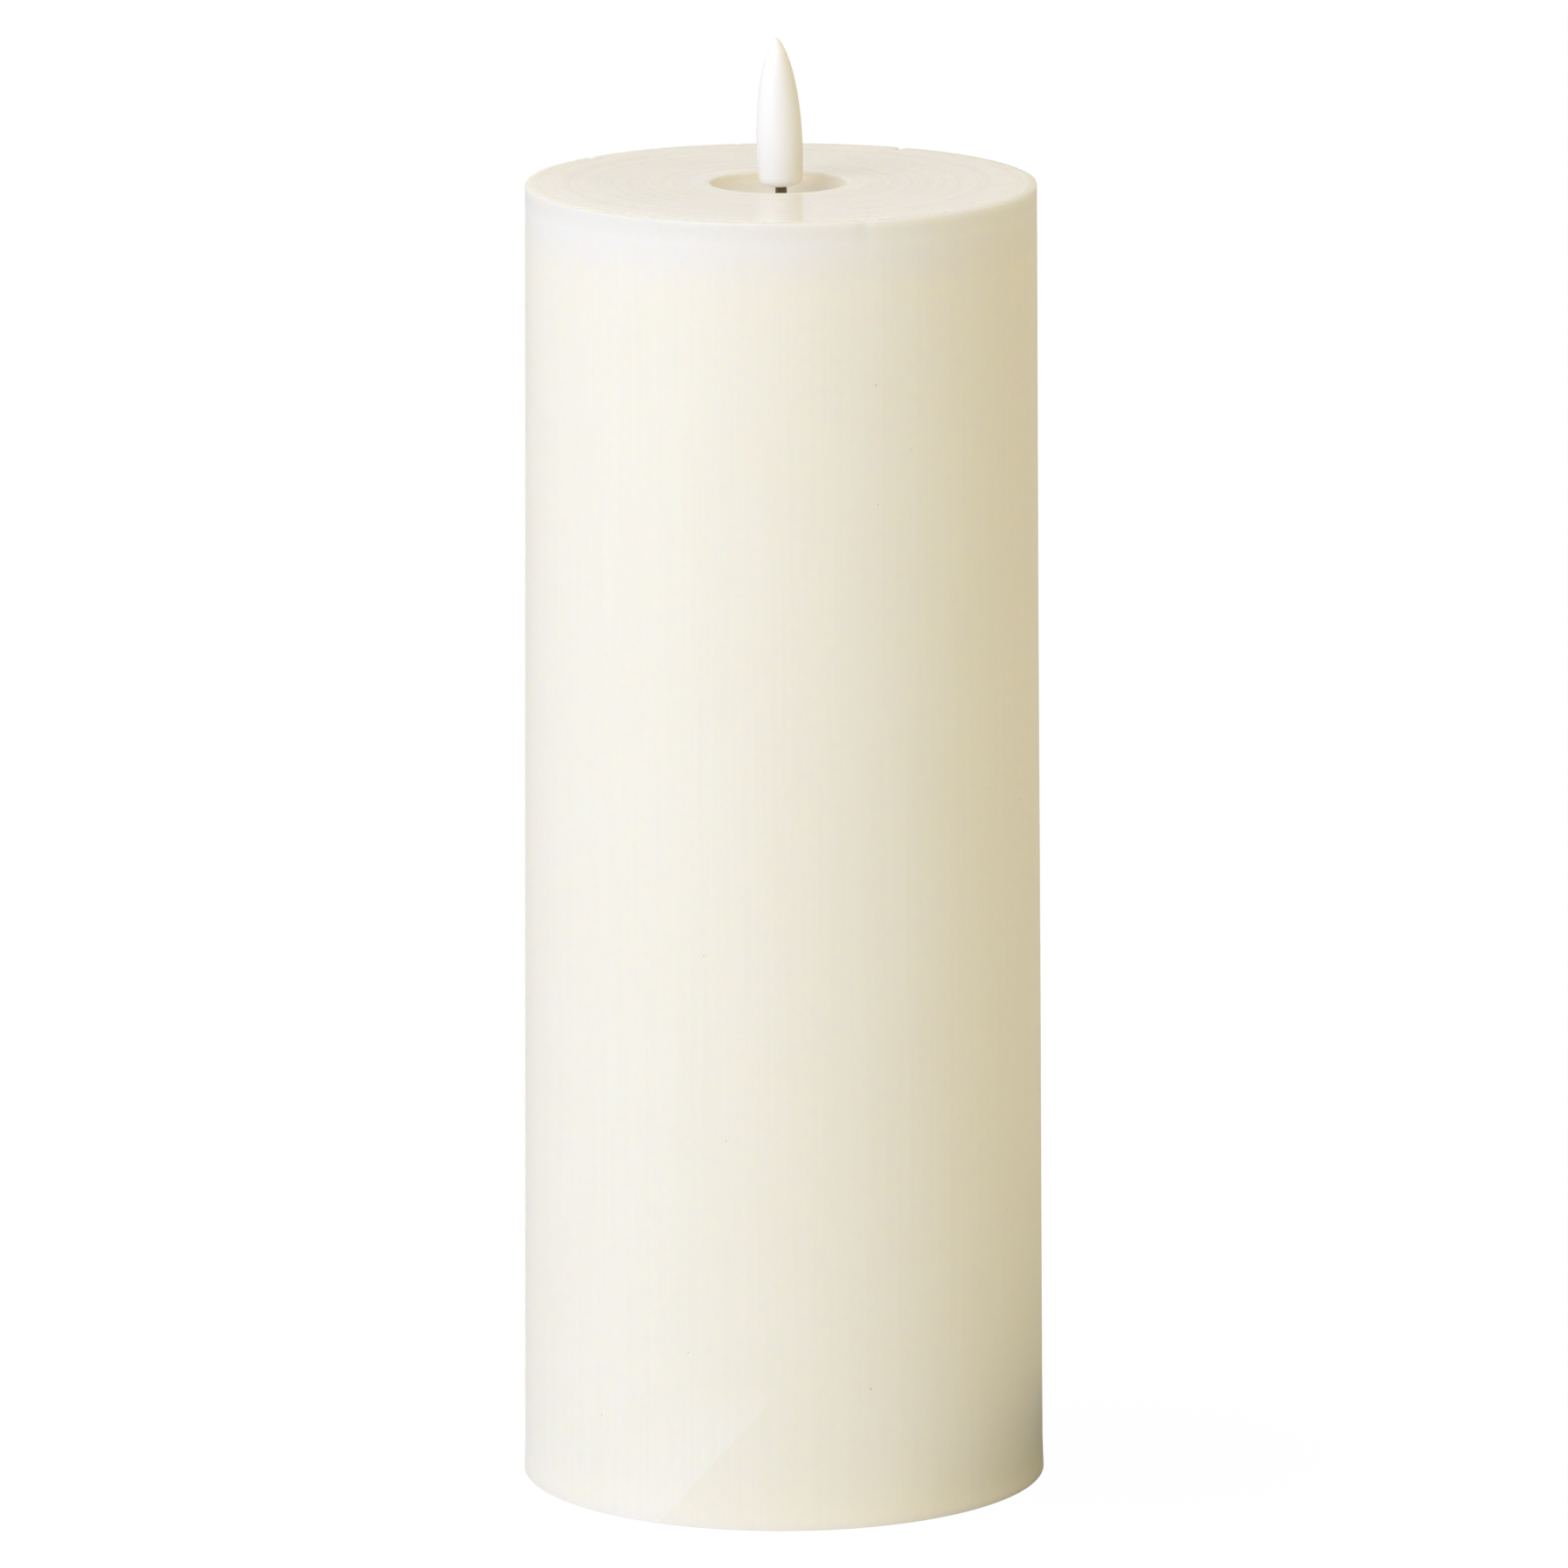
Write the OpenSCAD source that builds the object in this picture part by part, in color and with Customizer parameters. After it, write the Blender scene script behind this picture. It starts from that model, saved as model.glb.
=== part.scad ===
// Flameless LED pillar candle: a hollow wax shell glued onto a plastic battery base, with a
// translucent flame on a short wick. Millimetres, +Z up. The origin is the centre of the wax
// ring that the candle stands on. The front is -Y, and the catch of the battery door is on -X.

/* [Wax shell] */
// Diameter of the wax at its foot
foot_d = 100; // [98:0.5:102]
// Diameter of the wax at its top
top_d = 97; // [96:0.5:98]
// Height of the wax, from the foot ring to the flat top
candle_h = 250; // [220:5:300]
// Thickness of the wax wall
wax_wall = 7.2; // [7:0.1:7.4]
// Thickness of the solid wax top
top_t = 13; // [12:0.5:16]
// Radius of the rounded rim
rim_r = 1.5; // [1:0.25:2.5]
// Radius of the rounded foot edge
foot_r = 1; // [0.5:0.25:1.5]

/* [Dish and wick] */
// Diameter of the dish round the wick
dish_d = 26; // [24:0.5:30]
// Depth of the dish
dish_depth = 5; // [4:0.25:6]
// How far the dish sits off the wick, along X
dish_shift = -0.5; // [-1:0.1:1]
// Diameter of the braided wick
wick_d = 2.3; // [2.2:0.1:2.6]

/* [Flame] */
// Largest diameter of the flame
flame_d = 8.7; // [8:0.1:10]
// Height of the flame
flame_h = 28.4; // [26:0.2:32]
// How far the flame's base lies below the wax top
flame_sink = 0.8; // [0.4:0.1:2]
// Lean of the flame towards -X, in degrees
flame_lean = 1.7; // [0:0.1:3]
// Wall thickness of the flame
flame_wall = 1.1; // [0.8:0.1:1.3]

/* [Base housing] */
// Diameter of the base plate
plate_d = 84.8; // [84:0.2:85]
// Height of the plate's underside above the ground
plate_z = 1.5; // [1.5:0.1:2]
// Thickness of the base plate
plate_t = 2.5; // [2.5:0.1:2.8]
// Wall thickness of the battery bay and the skirt
shell_t = 1.5; // [1.4:0.1:1.6]

/* [Batteries] */
// Diameter of an AA cell
cell_d = 14.3; // [13.8:0.1:14.5]
// Length of an AA cell, with its positive nub
cell_l = 50.5; // [49.5:0.1:50.5]

/* [Door, catch and switch] */
// Thickness of the battery door
door_t = 1.8; // [1.6:0.1:1.9]
// Radius of the door's hinge pins
pin_r = 0.8; // [0.7:0.05:0.85]
// Travel of the switch knob from its middle position
slide_travel = 2; // [1.5:0.25:2]

/* [Hidden] */
$fn = 96;

// A cut runs this far past the face it opens
over = 0.5;
// Gap between pieces that move past each other
gap = 0.35;

// Wax shell
big_fn = 180;
foot_out = foot_d / 2;
top_out = top_d / 2;
foot_in = foot_out - wax_wall;
top_in = top_out - wax_wall;
ceiling_z = candle_h - top_t;
ceiling_r = 3;
dish_r = dish_d / 2;
dish_floor = candle_h - dish_depth;

// Wick, its plug and the light-emitting diode
wick_r = wick_d / 2;
wick_bore_r = wick_r - 0.3;
wick_bottom = ceiling_z - 6;
plug_r = 4;
plug_h = top_t - dish_depth - 2;
plug_flange_r = 9;
plug_flange_t = 2;
led_r = 1.5;
led_h = 4;
led_rim_r = 1.9;
led_rim_t = 0.8;
leg_r = 0.25;
leg_x = 0.45;
leg_spread = 1.6;
leg_bend_z = wick_bottom - 1;
leg_low_z = leg_bend_z - 3;
leg_end_z = leg_low_z - 5;
joint_len = 9;

// Flame: its widest point divides a tapered foot from a bullet-shaped top
flame_r = flame_d / 2;
flame_z = candle_h - flame_sink;
flame_waist = 0.235 * flame_h;
flame_foot_r = flame_r - 0.16;
flame_corner = 1.8;

// Base housing
plate_r = plate_d / 2;
plate_top = plate_z + plate_t;
skirt_r = plate_r - 0.3;
skirt_top = 24;
bay_x = 1.5;
bay_y = 4;
bay_l = cell_l + 5.1;
bay_w = 2 * cell_d + 1.8;
bay_left = bay_x - bay_l / 2;
bay_right = bay_x + bay_l / 2;
seat_z = plate_z + door_t + 0.3;
seat_t = 1.8;
seat_w = 3.5;
cell_r = cell_d / 2;
cell_z = seat_z + 0.7 + cell_r;
bay_ceiling = cell_z + cell_r + 0.6;
bay_roof = bay_ceiling + shell_t;
cell_dy = cell_r + 0.3;

// Door and its hinge
door_side = bay_w / 2 + shell_t + 0.9;
door_left = bay_left - shell_t - 1.3;
hinge_x = bay_right + 2.4;
hinge_z = plate_z + 1.25;
barrel_r = hinge_z - plate_z;
pin_l = 2.6;
grip_count = 4;
grip_in = 5;
grip_pitch = 2.4;
grip_l = 14;
grip_depth = 0.5;
door_rib_t = 1.2;
pin_fit = 0.05;

// Catch: an inner leg on the door, and a springy outer leg that hooks over the plate's edge
latch_w = 8;
latch_t = 1;
latch_top = 12;
latch_x = door_left - 3.1;
latch_tilt = 7;
latch_h = latch_top - plate_z - 0.3;
latch_edge = latch_x - 2.15;
nib_tip = latch_edge - 0.75;
nib_z = plate_top + 0.4;
nib_h = 1.4;
scoop_r = 5.5;
scoop_depth = 1.2;
pocket_wall = 1.2;
pocket_left = nib_tip - 0.6;
pocket_side = latch_w / 2 + 1.2;
pocket_top = latch_top + 2;

// Board, its screws and the slide switch
board_y = -23;
board_l = 42;
board_w = 16;
board_z = 9.5;
board_t = 1.2;
board_top = board_z + board_t;
board_screw_x = 17.5;
screw_r = 1;
switch_l = 12;
switch_w = 5.8;
post_l = 3;
post_w = 1.8;
knob_l = 8.4;
knob_w = 5.2;
knob_z = 0.7;
knob_top = plate_top - 1.6;
recess_top = plate_top - 1.3;

// Parts on the board, each placed by its lowest corner or its centre
chip_at = [-11.5, board_y - 1.9];
chip_size = [5, 3.8, 1.5];
chip_lift = 0.1;
chip_pitch = 1.27;
crystal_at = [-4, board_y - 5];
crystal_l = 6;
crystal_r = 1;
capacitor_at = [13.5, board_y - 4.5];
capacitor_r = 2.5;
capacitor_h = 7;
resistor_at = [-12, board_y + 3.6];
resistor_size = [2, 1.2, 0.6];
resistor_pitch = 3.4;
switch_pin_pitch = 3;

// Cover and its screws
cover_t = 1.6;
cover_r = skirt_r - 0.2;
boss_angles = [90, 216, 324];
boss_circle = 36;
boss_r = 3;
lead_hole = [5, -27];
lead_hole_r = 3;

// Sheet contacts
sheet_t = 0.4;
contact_w = 12;
contact_low = seat_z + 1.5;
tab_w = 4;
tab_top = bay_roof + 1.8;
coil_h = bay_l - cell_l - 2 * sheet_t;
coil_turns = 3;
coil_wire_r = 0.35;
coil_wide = 4.6;
coil_narrow = 3;

// Leads: radius, sides, steps between two route points, and the routes
lead_r = 0.6;
lead_sides = 8;
lead_steps = 2;
flame_red_route = [[12, -19, 10.8], [12, -19, 13], [11, -21, 16], [8, -25, 21], [6.2, -27, 26],
                   [5, -30, 32], [4, -34, 45], [4, -37, 70], [4, -37, 120], [4, -36, 165],
                   [3, -31, 190], [2, -18, 206], [1.8, -7, 211], [1.6, -1.5, 214.5],
                   [1.6, 0, 218], [1.6, 0, 222]];
flame_black_route = [[8, -19, 10.8], [8, -19, 13], [7, -21, 16], [5, -25, 21],
                     [3.8, -27, 26], [2.5, -30, 32], [1.5, -34, 45], [1.5, -37, 70],
                     [1.5, -37, 120], [1.2, -36, 165], [0, -31, 190], [-1.2, -18, 206],
                     [-1.5, -7, 211], [-1.6, -1.5, 214.5], [-1.6, 0, 218], [-1.6, 0, 222]];
battery_red_route = [[-25.2, -4, 22], [-25, -9, 22.3], [-23.5, -13, 21.8], [-21.5, -15.5, 19],
                     [-20, -17, 16], [-19, -17.5, 13], [-19, -17.5, 10.8]];
battery_black_route = [[-25.2, 11, 22], [-24, 8, 22.4], [-21.5, 0, 22.2], [-20, -8, 22.2],
                       [-18, -13, 21.8], [-16, -15.5, 19], [-14.5, -17, 16],
                       [-13.5, -17.5, 13], [-13.5, -17.5, 10.8]];

// An arc of points about a centre, from one angle to another
function arc(centre, r, from, to, steps) =
    [for (i = [0:steps]) let (a = from + (to - from) * i / steps)
        [centre[0] + r * cos(a), centre[1] + r * sin(a)]];

// A point of a smooth curve through four neighbours, t from 0 to 1 between the middle two
function curve_point(a, b, c, d, t) =
    0.5 * (2 * b + (c - a) * t + (2 * a - 5 * b + 4 * c - d) * t * t
        + (3 * b - a - 3 * c + d) * t * t * t);

// A smooth path through a route, with a number of steps for each of its stretches
function smooth(route, steps) = let (last = len(route) - 1) concat(
    [for (i = [0:last - 1], k = [0:steps - 1])
        curve_point(route[max(i - 1, 0)], route[i], route[i + 1], route[min(i + 2, last)],
            k / steps)],
    [route[last]]);

function unit(v) = v / norm(v);

// Tube along a path that never runs along the vector "aside"
module tube(path, r, sides, aside) {
    last = len(path) - 1;
    rings = [for (i = [0:last])
        let (along = unit(path[min(i + 1, last)] - path[max(i - 1, 0)]),
             u = unit(cross(along, aside)),
             v = cross(along, u))
        for (k = [0:sides - 1])
            path[i] + r * (u * cos(360 * k / sides) + v * sin(360 * k / sides))];
    walls = [for (i = [0:last - 1], k = [0:sides - 1])
        let (next = (k + 1) % sides)
        each [[i * sides + k, (i + 1) * sides + k, (i + 1) * sides + next],
              [i * sides + k, (i + 1) * sides + next, i * sides + next]]];
    ends = [[for (k = [0:sides - 1]) k],
            [for (k = [sides - 1:-1:0]) last * sides + k]];
    polyhedron(rings, concat(walls, ends), convexity = 6);
}

// Box given by its lowest and highest corners
module block(low, high) {
    translate(low) cube(high - low);
}

// Screw with a cross recess, its head's underside at z = 0
module screw(shank_r, shank_l, head_r, head_h) {
    difference() {
        union() {
            translate([0, 0, -shank_l]) cylinder(h = shank_l, r = shank_r, $fn = 32);
            cylinder(h = head_h, r1 = head_r, r2 = head_r * 0.8, $fn = 32);
        }
        for (a = [0, 90])
            rotate([0, 0, a])
                translate([-head_r * 0.55, -0.2, head_h * 0.4])
                    cube([head_r * 1.1, 0.4, head_h]);
    }
}

module wax_shell() {
    color("ivory")
        difference() {
            rotate_extrude($fn = big_fn) polygon(concat(
                [[foot_in, 0]],
                arc([foot_out - foot_r, foot_r], foot_r, -90, 0, 6),
                arc([top_out - rim_r, candle_h - rim_r], rim_r, 0, 90, 8),
                [[0, candle_h], [0, ceiling_z]],
                arc([top_in - ceiling_r, ceiling_z - ceiling_r], ceiling_r, 90, 0, 6)));
            translate([dish_shift, 0, 0]) dish_cut();
            cylinder(h = candle_h, r = wick_r + 0.15);
            translate([0, 0, ceiling_z - over]) cylinder(h = plug_h + over, r = plug_r);
        }
}

// Bowl that leaves a dish in the wax top
module dish_cut() {
    steps = 16;
    rotate_extrude() polygon(concat(
        [for (i = [0:steps]) let (r = dish_r * sin(90 * i / steps))
            [r, candle_h - dish_depth * sqrt(1 - pow(r / dish_r, 3))]],
        [[dish_r, candle_h + over], [0, candle_h + over]]));
}

// Half outline of a flame, with its widest radius and its height above the base
function flame_half(r, foot, corner, waist, h) = let (steps = 20) concat(
    arc([foot - corner, corner], corner, -90, 0, 6),
    [for (i = [1:steps]) let (t = sin(90 * i / steps))
        [r * pow(1 - pow(t, 2.2), 0.65), waist + (h - waist) * t]]);

module flame_shell() {
    inner_r = flame_r - flame_wall;
    inner_h = flame_h - 2 * flame_wall - 1;
    color("white")
        translate([0, 0, flame_z])
            rotate([0, -flame_lean, 0])
                difference() {
                    rotate_extrude() polygon(concat([[0, 0]],
                        flame_half(flame_r, flame_foot_r, flame_corner, flame_waist, flame_h)));
                    translate([0, 0, flame_wall])
                        rotate_extrude() polygon(concat([[0, 0]],
                            flame_half(inner_r, inner_r - 0.2, 1, flame_waist, inner_h)));
                    translate([0, 0, -over]) cylinder(h = 3, r = wick_r + 0.1);
                }
}

module wick_sleeve() {
    color("saddlebrown")
        translate([0, 0, wick_bottom])
            difference() {
                cylinder(h = flame_z + flame_wall - wick_bottom, r = wick_r);
                translate([0, 0, -over])
                    cylinder(h = flame_z + flame_wall - wick_bottom + 2 * over, r = wick_bore_r);
            }
}

module flame_led() {
    base = flame_z + flame_wall + 0.2;
    color("lightyellow") {
        translate([0, 0, base])
            rotate_extrude() polygon(concat(
                [[0, 0], [led_rim_r, 0], [led_rim_r, led_rim_t], [led_r, led_rim_t]],
                arc([0, led_h], led_r, 0, 90, 8)));
        for (side = [-1, 1])
            tube(led_leg_path(side, base + 0.2), leg_r, lead_sides, [0, 1, 0]);
    }
}

// Leg that drops through the wick, spreads out below it and ends in a joint sleeve
function led_leg_path(side, top) =
    [[side * leg_spread, 0, leg_end_z], [side * leg_spread, 0, leg_low_z],
     [side * leg_x, 0, leg_bend_z], [side * leg_x, 0, top]];

module wick_plug() {
    color("whitesmoke")
        difference() {
            union() {
                translate([0, 0, ceiling_z - plug_flange_t])
                    cylinder(h = plug_flange_t, r = plug_flange_r);
                translate([0, 0, ceiling_z]) cylinder(h = plug_h - 0.2, r = plug_r - 0.1);
            }
            translate([0, 0, ceiling_z - plug_flange_t - over])
                cylinder(h = plug_h + plug_flange_t + 2 * over, r = wick_r + 0.05);
        }
}

module joint_sleeves() {
    color("dimgray")
        for (side = [-1, 1])
            translate([side * leg_spread, 0, leg_low_z - joint_len])
                difference() {
                    cylinder(h = joint_len - 0.6, r = 1, $fn = 48);
                    translate([0, 0, -over]) cylinder(h = joint_len + over, r = 0.7, $fn = 48);
                }
}

module flame_lead_red() {
    color("firebrick") tube(smooth(flame_red_route, lead_steps), lead_r, lead_sides, [1, 0, 0]);
}

module flame_lead_black() {
    color("#202020") tube(smooth(flame_black_route, lead_steps), lead_r, lead_sides, [1, 0, 0]);
}

module base_housing() {
    color("whitesmoke")
        difference() {
            union() {
                base_shell();
                battery_bay();
                latch_pocket();
                base_bosses();
            }
            door_cuts();
            switch_cuts();
            boss_bores();
        }
}

// Plate with a skirt that plugs into the wax
module base_shell() {
    translate([0, 0, plate_z]) cylinder(h = plate_t, r = plate_r, $fn = big_fn);
    difference() {
        translate([0, 0, plate_z]) cylinder(h = skirt_top - plate_z, r = skirt_r, $fn = big_fn);
        translate([0, 0, plate_z])
            cylinder(h = skirt_top - plate_z + over, r = skirt_r - shell_t - 0.3, $fn = big_fn);
    }
}

// Box that holds the cells, and the frame round its mouth that the door closes against
module battery_bay() {
    side = bay_w / 2 + shell_t;
    difference() {
        union() {
            block([bay_left - shell_t, bay_y - side, seat_z],
                [bay_right + shell_t, bay_y + side, bay_roof]);
            intersection() {
                block([door_left - seat_w, bay_y - door_side - seat_w, seat_z],
                    [hinge_x + seat_w, bay_y + door_side + seat_w, seat_z + seat_t]);
                cylinder(h = skirt_top, r = skirt_r - shell_t);
            }
        }
        block([bay_left, bay_y - bay_w / 2, plate_z - over],
            [bay_right, bay_y + bay_w / 2, bay_ceiling]);
        for (side = [-1, 1])
            block([bay_left - 0.05, bay_y + side * cell_dy - tab_w / 2 - 0.1, bay_ceiling - over],
                [bay_left + sheet_t + 0.1, bay_y + side * cell_dy + tab_w / 2 + 0.1,
                    bay_roof + over]);
    }
}

// Closed pocket over the catch, so that nothing gets in beside it
module latch_pocket() {
    difference() {
        block([pocket_left - pocket_wall, bay_y - pocket_side - pocket_wall, plate_z],
            [bay_left - shell_t + 0.2, bay_y + pocket_side + pocket_wall,
                pocket_top + pocket_wall]);
        block([pocket_left, bay_y - pocket_side, plate_top],
            [bay_left - shell_t, bay_y + pocket_side, pocket_top]);
    }
}

// Posts for the board's and the cover's screws
module base_bosses() {
    for (side = [-1, 1])
        translate([side * board_screw_x, board_y, plate_z])
            cylinder(h = board_z - plate_z, r = 2.6);
    for (a = boss_angles)
        rotate([0, 0, a])
            translate([boss_circle, 0, plate_z])
                cylinder(h = skirt_top - plate_z, r = boss_r);
}

// Mouth for the door and for the cells, relief and bores for the hinge, and the catch's
// opening with its finger scoop
module door_cuts() {
    block([bay_left, bay_y - bay_w / 2, plate_z], [bay_right, bay_y + bay_w / 2, plate_top + over]);
    block([door_left - gap, bay_y - door_side - gap, plate_z - over],
        [hinge_x + barrel_r + gap, bay_y + door_side + gap, seat_z]);
    block([hinge_x - barrel_r - 0.5, bay_y - door_side - gap, plate_z - over],
        [hinge_x + barrel_r + gap, bay_y + door_side + gap, hinge_z + barrel_r + gap]);
    translate([hinge_x, bay_y - door_side - pin_l - 0.3, hinge_z])
        rotate([-90, 0, 0])
            cylinder(h = 2 * (door_side + pin_l + 0.3), r = pin_r + pin_fit);
    block([latch_edge, bay_y - latch_w / 2 - 0.4, plate_z - over],
        [bay_left - shell_t, bay_y + latch_w / 2 + 0.4, latch_top]);
    translate([latch_edge + 1, bay_y, plate_z - over]) cylinder(h = scoop_depth + over, r = scoop_r);
}

// Slot for the switch's post, the recess that its knob slides in, and three marks beside it
module switch_cuts() {
    slot_x = post_l / 2 + slide_travel + gap;
    recess_x = knob_l / 2 + slide_travel + gap;
    block([-slot_x, board_y - post_w / 2 - gap, plate_z],
        [slot_x, board_y + post_w / 2 + gap, plate_top + over]);
    block([-recess_x, board_y - knob_w / 2 - gap, plate_z - over],
        [recess_x, board_y + knob_w / 2 + gap, recess_top]);
    for (x = [-1, 0, 1])
        translate([x * (slide_travel + 1.5), board_y - knob_w / 2 - 2.4, plate_z - over])
            cylinder(h = over + 0.4, r = 0.6, $fn = 24);
}

module boss_bores() {
    for (side = [-1, 1])
        translate([side * board_screw_x, board_y, plate_z + 1.5])
            cylinder(h = board_z, r = screw_r);
    for (a = boss_angles)
        rotate([0, 0, a])
            translate([boss_circle, 0, skirt_top - 9]) cylinder(h = 9 + over, r = screw_r);
}

module base_glue_ring() {
    low = skirt_top + cover_t;
    wall_r = foot_in - (foot_out - top_out) * (low + 2) / candle_h;
    color("wheat")
        rotate_extrude($fn = big_fn)
            polygon([[cover_r - 3, low], [wall_r - 0.1, low], [wall_r - 0.1, low + 3],
                [cover_r - 1.2, low + 1.5]]);
}

module module_cover() {
    color("whitesmoke")
        difference() {
            union() {
                translate([0, 0, skirt_top]) cylinder(h = cover_t, r = cover_r, $fn = big_fn);
                difference() {
                    translate([0, 0, skirt_top - 1.2])
                        cylinder(h = 1.2, r = skirt_r - shell_t - 0.5, $fn = big_fn);
                    translate([0, 0, skirt_top - 2])
                        cylinder(h = 2, r = skirt_r - shell_t - 1.7, $fn = big_fn);
                    for (a = boss_angles)
                        rotate([0, 0, a])
                            translate([boss_circle, 0, skirt_top - 2])
                                cylinder(h = 2, r = boss_r + 0.3);
                }
            }
            for (a = boss_angles)
                rotate([0, 0, a])
                    translate([boss_circle, 0, skirt_top - over])
                        cylinder(h = cover_t + 2 * over, r = screw_r + 0.3);
            translate([lead_hole[0], lead_hole[1], skirt_top - over])
                cylinder(h = cover_t + 2 * over, r = lead_hole_r);
        }
}

module cover_screws() {
    color("silver")
        for (a = boss_angles)
            rotate([0, 0, a])
                translate([boss_circle, 0, skirt_top + cover_t]) screw(screw_r, 8, 2.2, 1.5);
}

module battery_door() {
    color("whitesmoke") {
        difference() {
            block([door_left, bay_y - door_side, plate_z],
                [hinge_x, bay_y + door_side, plate_z + door_t]);
            for (i = [0:grip_count - 1])
                block([door_left + grip_in + grip_pitch * i, bay_y - grip_l / 2, plate_z - over],
                    [door_left + grip_in + grip_pitch * (i + 0.5), bay_y + grip_l / 2,
                        plate_z + grip_depth]);
        }
        translate([hinge_x, bay_y - door_side, hinge_z])
            rotate([-90, 0, 0]) cylinder(h = 2 * door_side, r = barrel_r);
        translate([hinge_x, bay_y - door_side - pin_l, hinge_z])
            rotate([-90, 0, 0]) cylinder(h = 2 * (door_side + pin_l), r = pin_r);
        for (side = [-1, 1])
            block([bay_left + 4, bay_y + side * cell_dy - door_rib_t / 2, plate_z + door_t - 0.2],
                [bay_right - 6, bay_y + side * cell_dy + door_rib_t / 2, cell_z - cell_r - 0.3]);
        block([door_left, bay_y - latch_w / 2, plate_z],
            [door_left + latch_t, bay_y + latch_w / 2, latch_top]);
        block([latch_x + latch_t / 2 + 0.3, bay_y - latch_w / 2, latch_top - latch_t],
            [door_left + latch_t, bay_y + latch_w / 2, latch_top]);
    }
}

// A point on the catch's leg: how far down from its top, and how far out from its middle
function on_leg(down, out) =
    [latch_x - down * sin(latch_tilt) - out * cos(latch_tilt),
     latch_top - down * cos(latch_tilt) + out * sin(latch_tilt)];

// Springy outer leg of the catch: it turns about its top end, where it is moulded to the door
module door_latch() {
    half = latch_t / 2;
    nib_down = (latch_top - nib_z) / cos(latch_tilt);
    rib_down = latch_h - 1.4;
    rib_h = 0.3;
    color("whitesmoke")
        translate([0, bay_y + latch_w / 2, 0])
            rotate([90, 0, 0]) {
                linear_extrude(height = latch_w)
                    polygon([on_leg(0, -half), on_leg(0, half), on_leg(nib_down - nib_h, half),
                        [nib_tip + 0.2, nib_z + 0.3], [nib_tip, nib_z], on_leg(nib_down, half),
                        on_leg(rib_down, half), on_leg(rib_down + 0.2, half + rib_h),
                        on_leg(rib_down + 0.5, half + rib_h), on_leg(rib_down + 0.7, half),
                        on_leg(latch_h - 0.4, half + rib_h), on_leg(latch_h, half + rib_h),
                        on_leg(latch_h, -half)]);
                translate([latch_x, latch_top, 0]) cylinder(h = latch_w, r = half);
            }
}

// AA cell along +X from its flat end, its nub at the far end
module aa_cell() {
    nub_h = 1;
    nub_r = 2.6;
    can_l = cell_l - nub_h;
    end_step = 0.3;
    rotate([0, 90, 0]) {
        translate([0, 0, end_step]) cylinder(h = can_l - 2 * end_step, r = cell_r);
        cylinder(h = can_l, r = cell_r - 0.6);
        cylinder(h = cell_l, r = nub_r);
    }
}

module aa_cell_1() {
    color("darkorange")
        translate([bay_left + sheet_t + cell_l, bay_y - cell_dy, cell_z])
            rotate([0, 0, 180]) aa_cell();
}

module aa_cell_2() {
    color("darkorange")
        translate([bay_right - sheet_t - cell_l, bay_y + cell_dy, cell_z]) aa_cell();
}

// Conical coil along +X, wide end at x = 0
module coil() {
    steps = 24;
    path = [for (i = [0:coil_turns * steps])
        let (t = i / (coil_turns * steps), r = coil_wide + (coil_narrow - coil_wide) * t)
        [coil_wire_r - 0.1 + (coil_h - 2 * coil_wire_r) * t, r * cos(360 * i / steps),
            r * sin(360 * i / steps)]];
    tube(path, coil_wire_r, 6, [1, 0, 0]);
}

// Contact sheet against an end wall of the bay, with a solder tab through the bay's roof
module contact_sheet(y) {
    block([bay_left, y - contact_w / 2, contact_low],
        [bay_left + sheet_t, y + contact_w / 2, bay_ceiling - 0.3]);
    block([bay_left, y - tab_w / 2, bay_ceiling - 1], [bay_left + sheet_t, y + tab_w / 2, tab_top]);
}

module positive_contact() {
    color("silver") contact_sheet(bay_y - cell_dy);
}

module negative_contact() {
    color("silver") {
        contact_sheet(bay_y + cell_dy);
        translate([bay_left + sheet_t, bay_y + cell_dy, cell_z]) coil();
    }
}

module bridge_contact() {
    color("silver") {
        block([bay_right - sheet_t, bay_y - cell_dy - contact_w / 2, contact_low],
            [bay_right, bay_y + cell_dy + contact_w / 2, bay_ceiling - 0.3]);
        translate([bay_right - sheet_t, bay_y - cell_dy, cell_z]) rotate([0, 0, 180]) coil();
    }
}

module battery_lead_red() {
    color("firebrick") tube(smooth(battery_red_route, lead_steps), lead_r, lead_sides, [1, 0, 0]);
}

module battery_lead_black() {
    color("#202020") tube(smooth(battery_black_route, lead_steps), lead_r, lead_sides, [1, 0, 0]);
}

module control_board() {
    color("darkgreen")
        difference() {
            block([-board_l / 2, board_y - board_w / 2, board_z],
                [board_l / 2, board_y + board_w / 2, board_top]);
            for (side = [-1, 1])
                translate([side * board_screw_x, board_y, board_z - over])
                    cylinder(h = board_t + 2 * over, r = screw_r + 0.2);
        }
}

module board_screws() {
    color("silver")
        for (side = [-1, 1])
            translate([side * board_screw_x, board_y, board_top]) screw(screw_r, 5.5, 2, 1.4);
}

module timer_chip() {
    color("#202020")
        translate([chip_at[0], chip_at[1], board_top + chip_lift]) cube(chip_size);
}

module timer_crystal() {
    color("silver")
        translate([crystal_at[0], crystal_at[1], board_top + crystal_r + 0.1])
            rotate([0, 90, 0]) cylinder(h = crystal_l, r = crystal_r);
}

module capacitor() {
    color("midnightblue")
        translate([capacitor_at[0], capacitor_at[1], board_top])
            difference() {
                cylinder(h = capacitor_h, r = capacitor_r);
                for (a = [0, 90])
                    translate([0, 0, capacitor_h])
                        rotate([0, 0, a]) cube([1.4 * capacitor_r, 0.3, 0.4], center = true);
            }
}

module resistors() {
    color("#303030")
        for (i = [0:2])
            translate([resistor_at[0] + resistor_pitch * i, resistor_at[1], board_top])
                cube(resistor_size);
}

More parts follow.
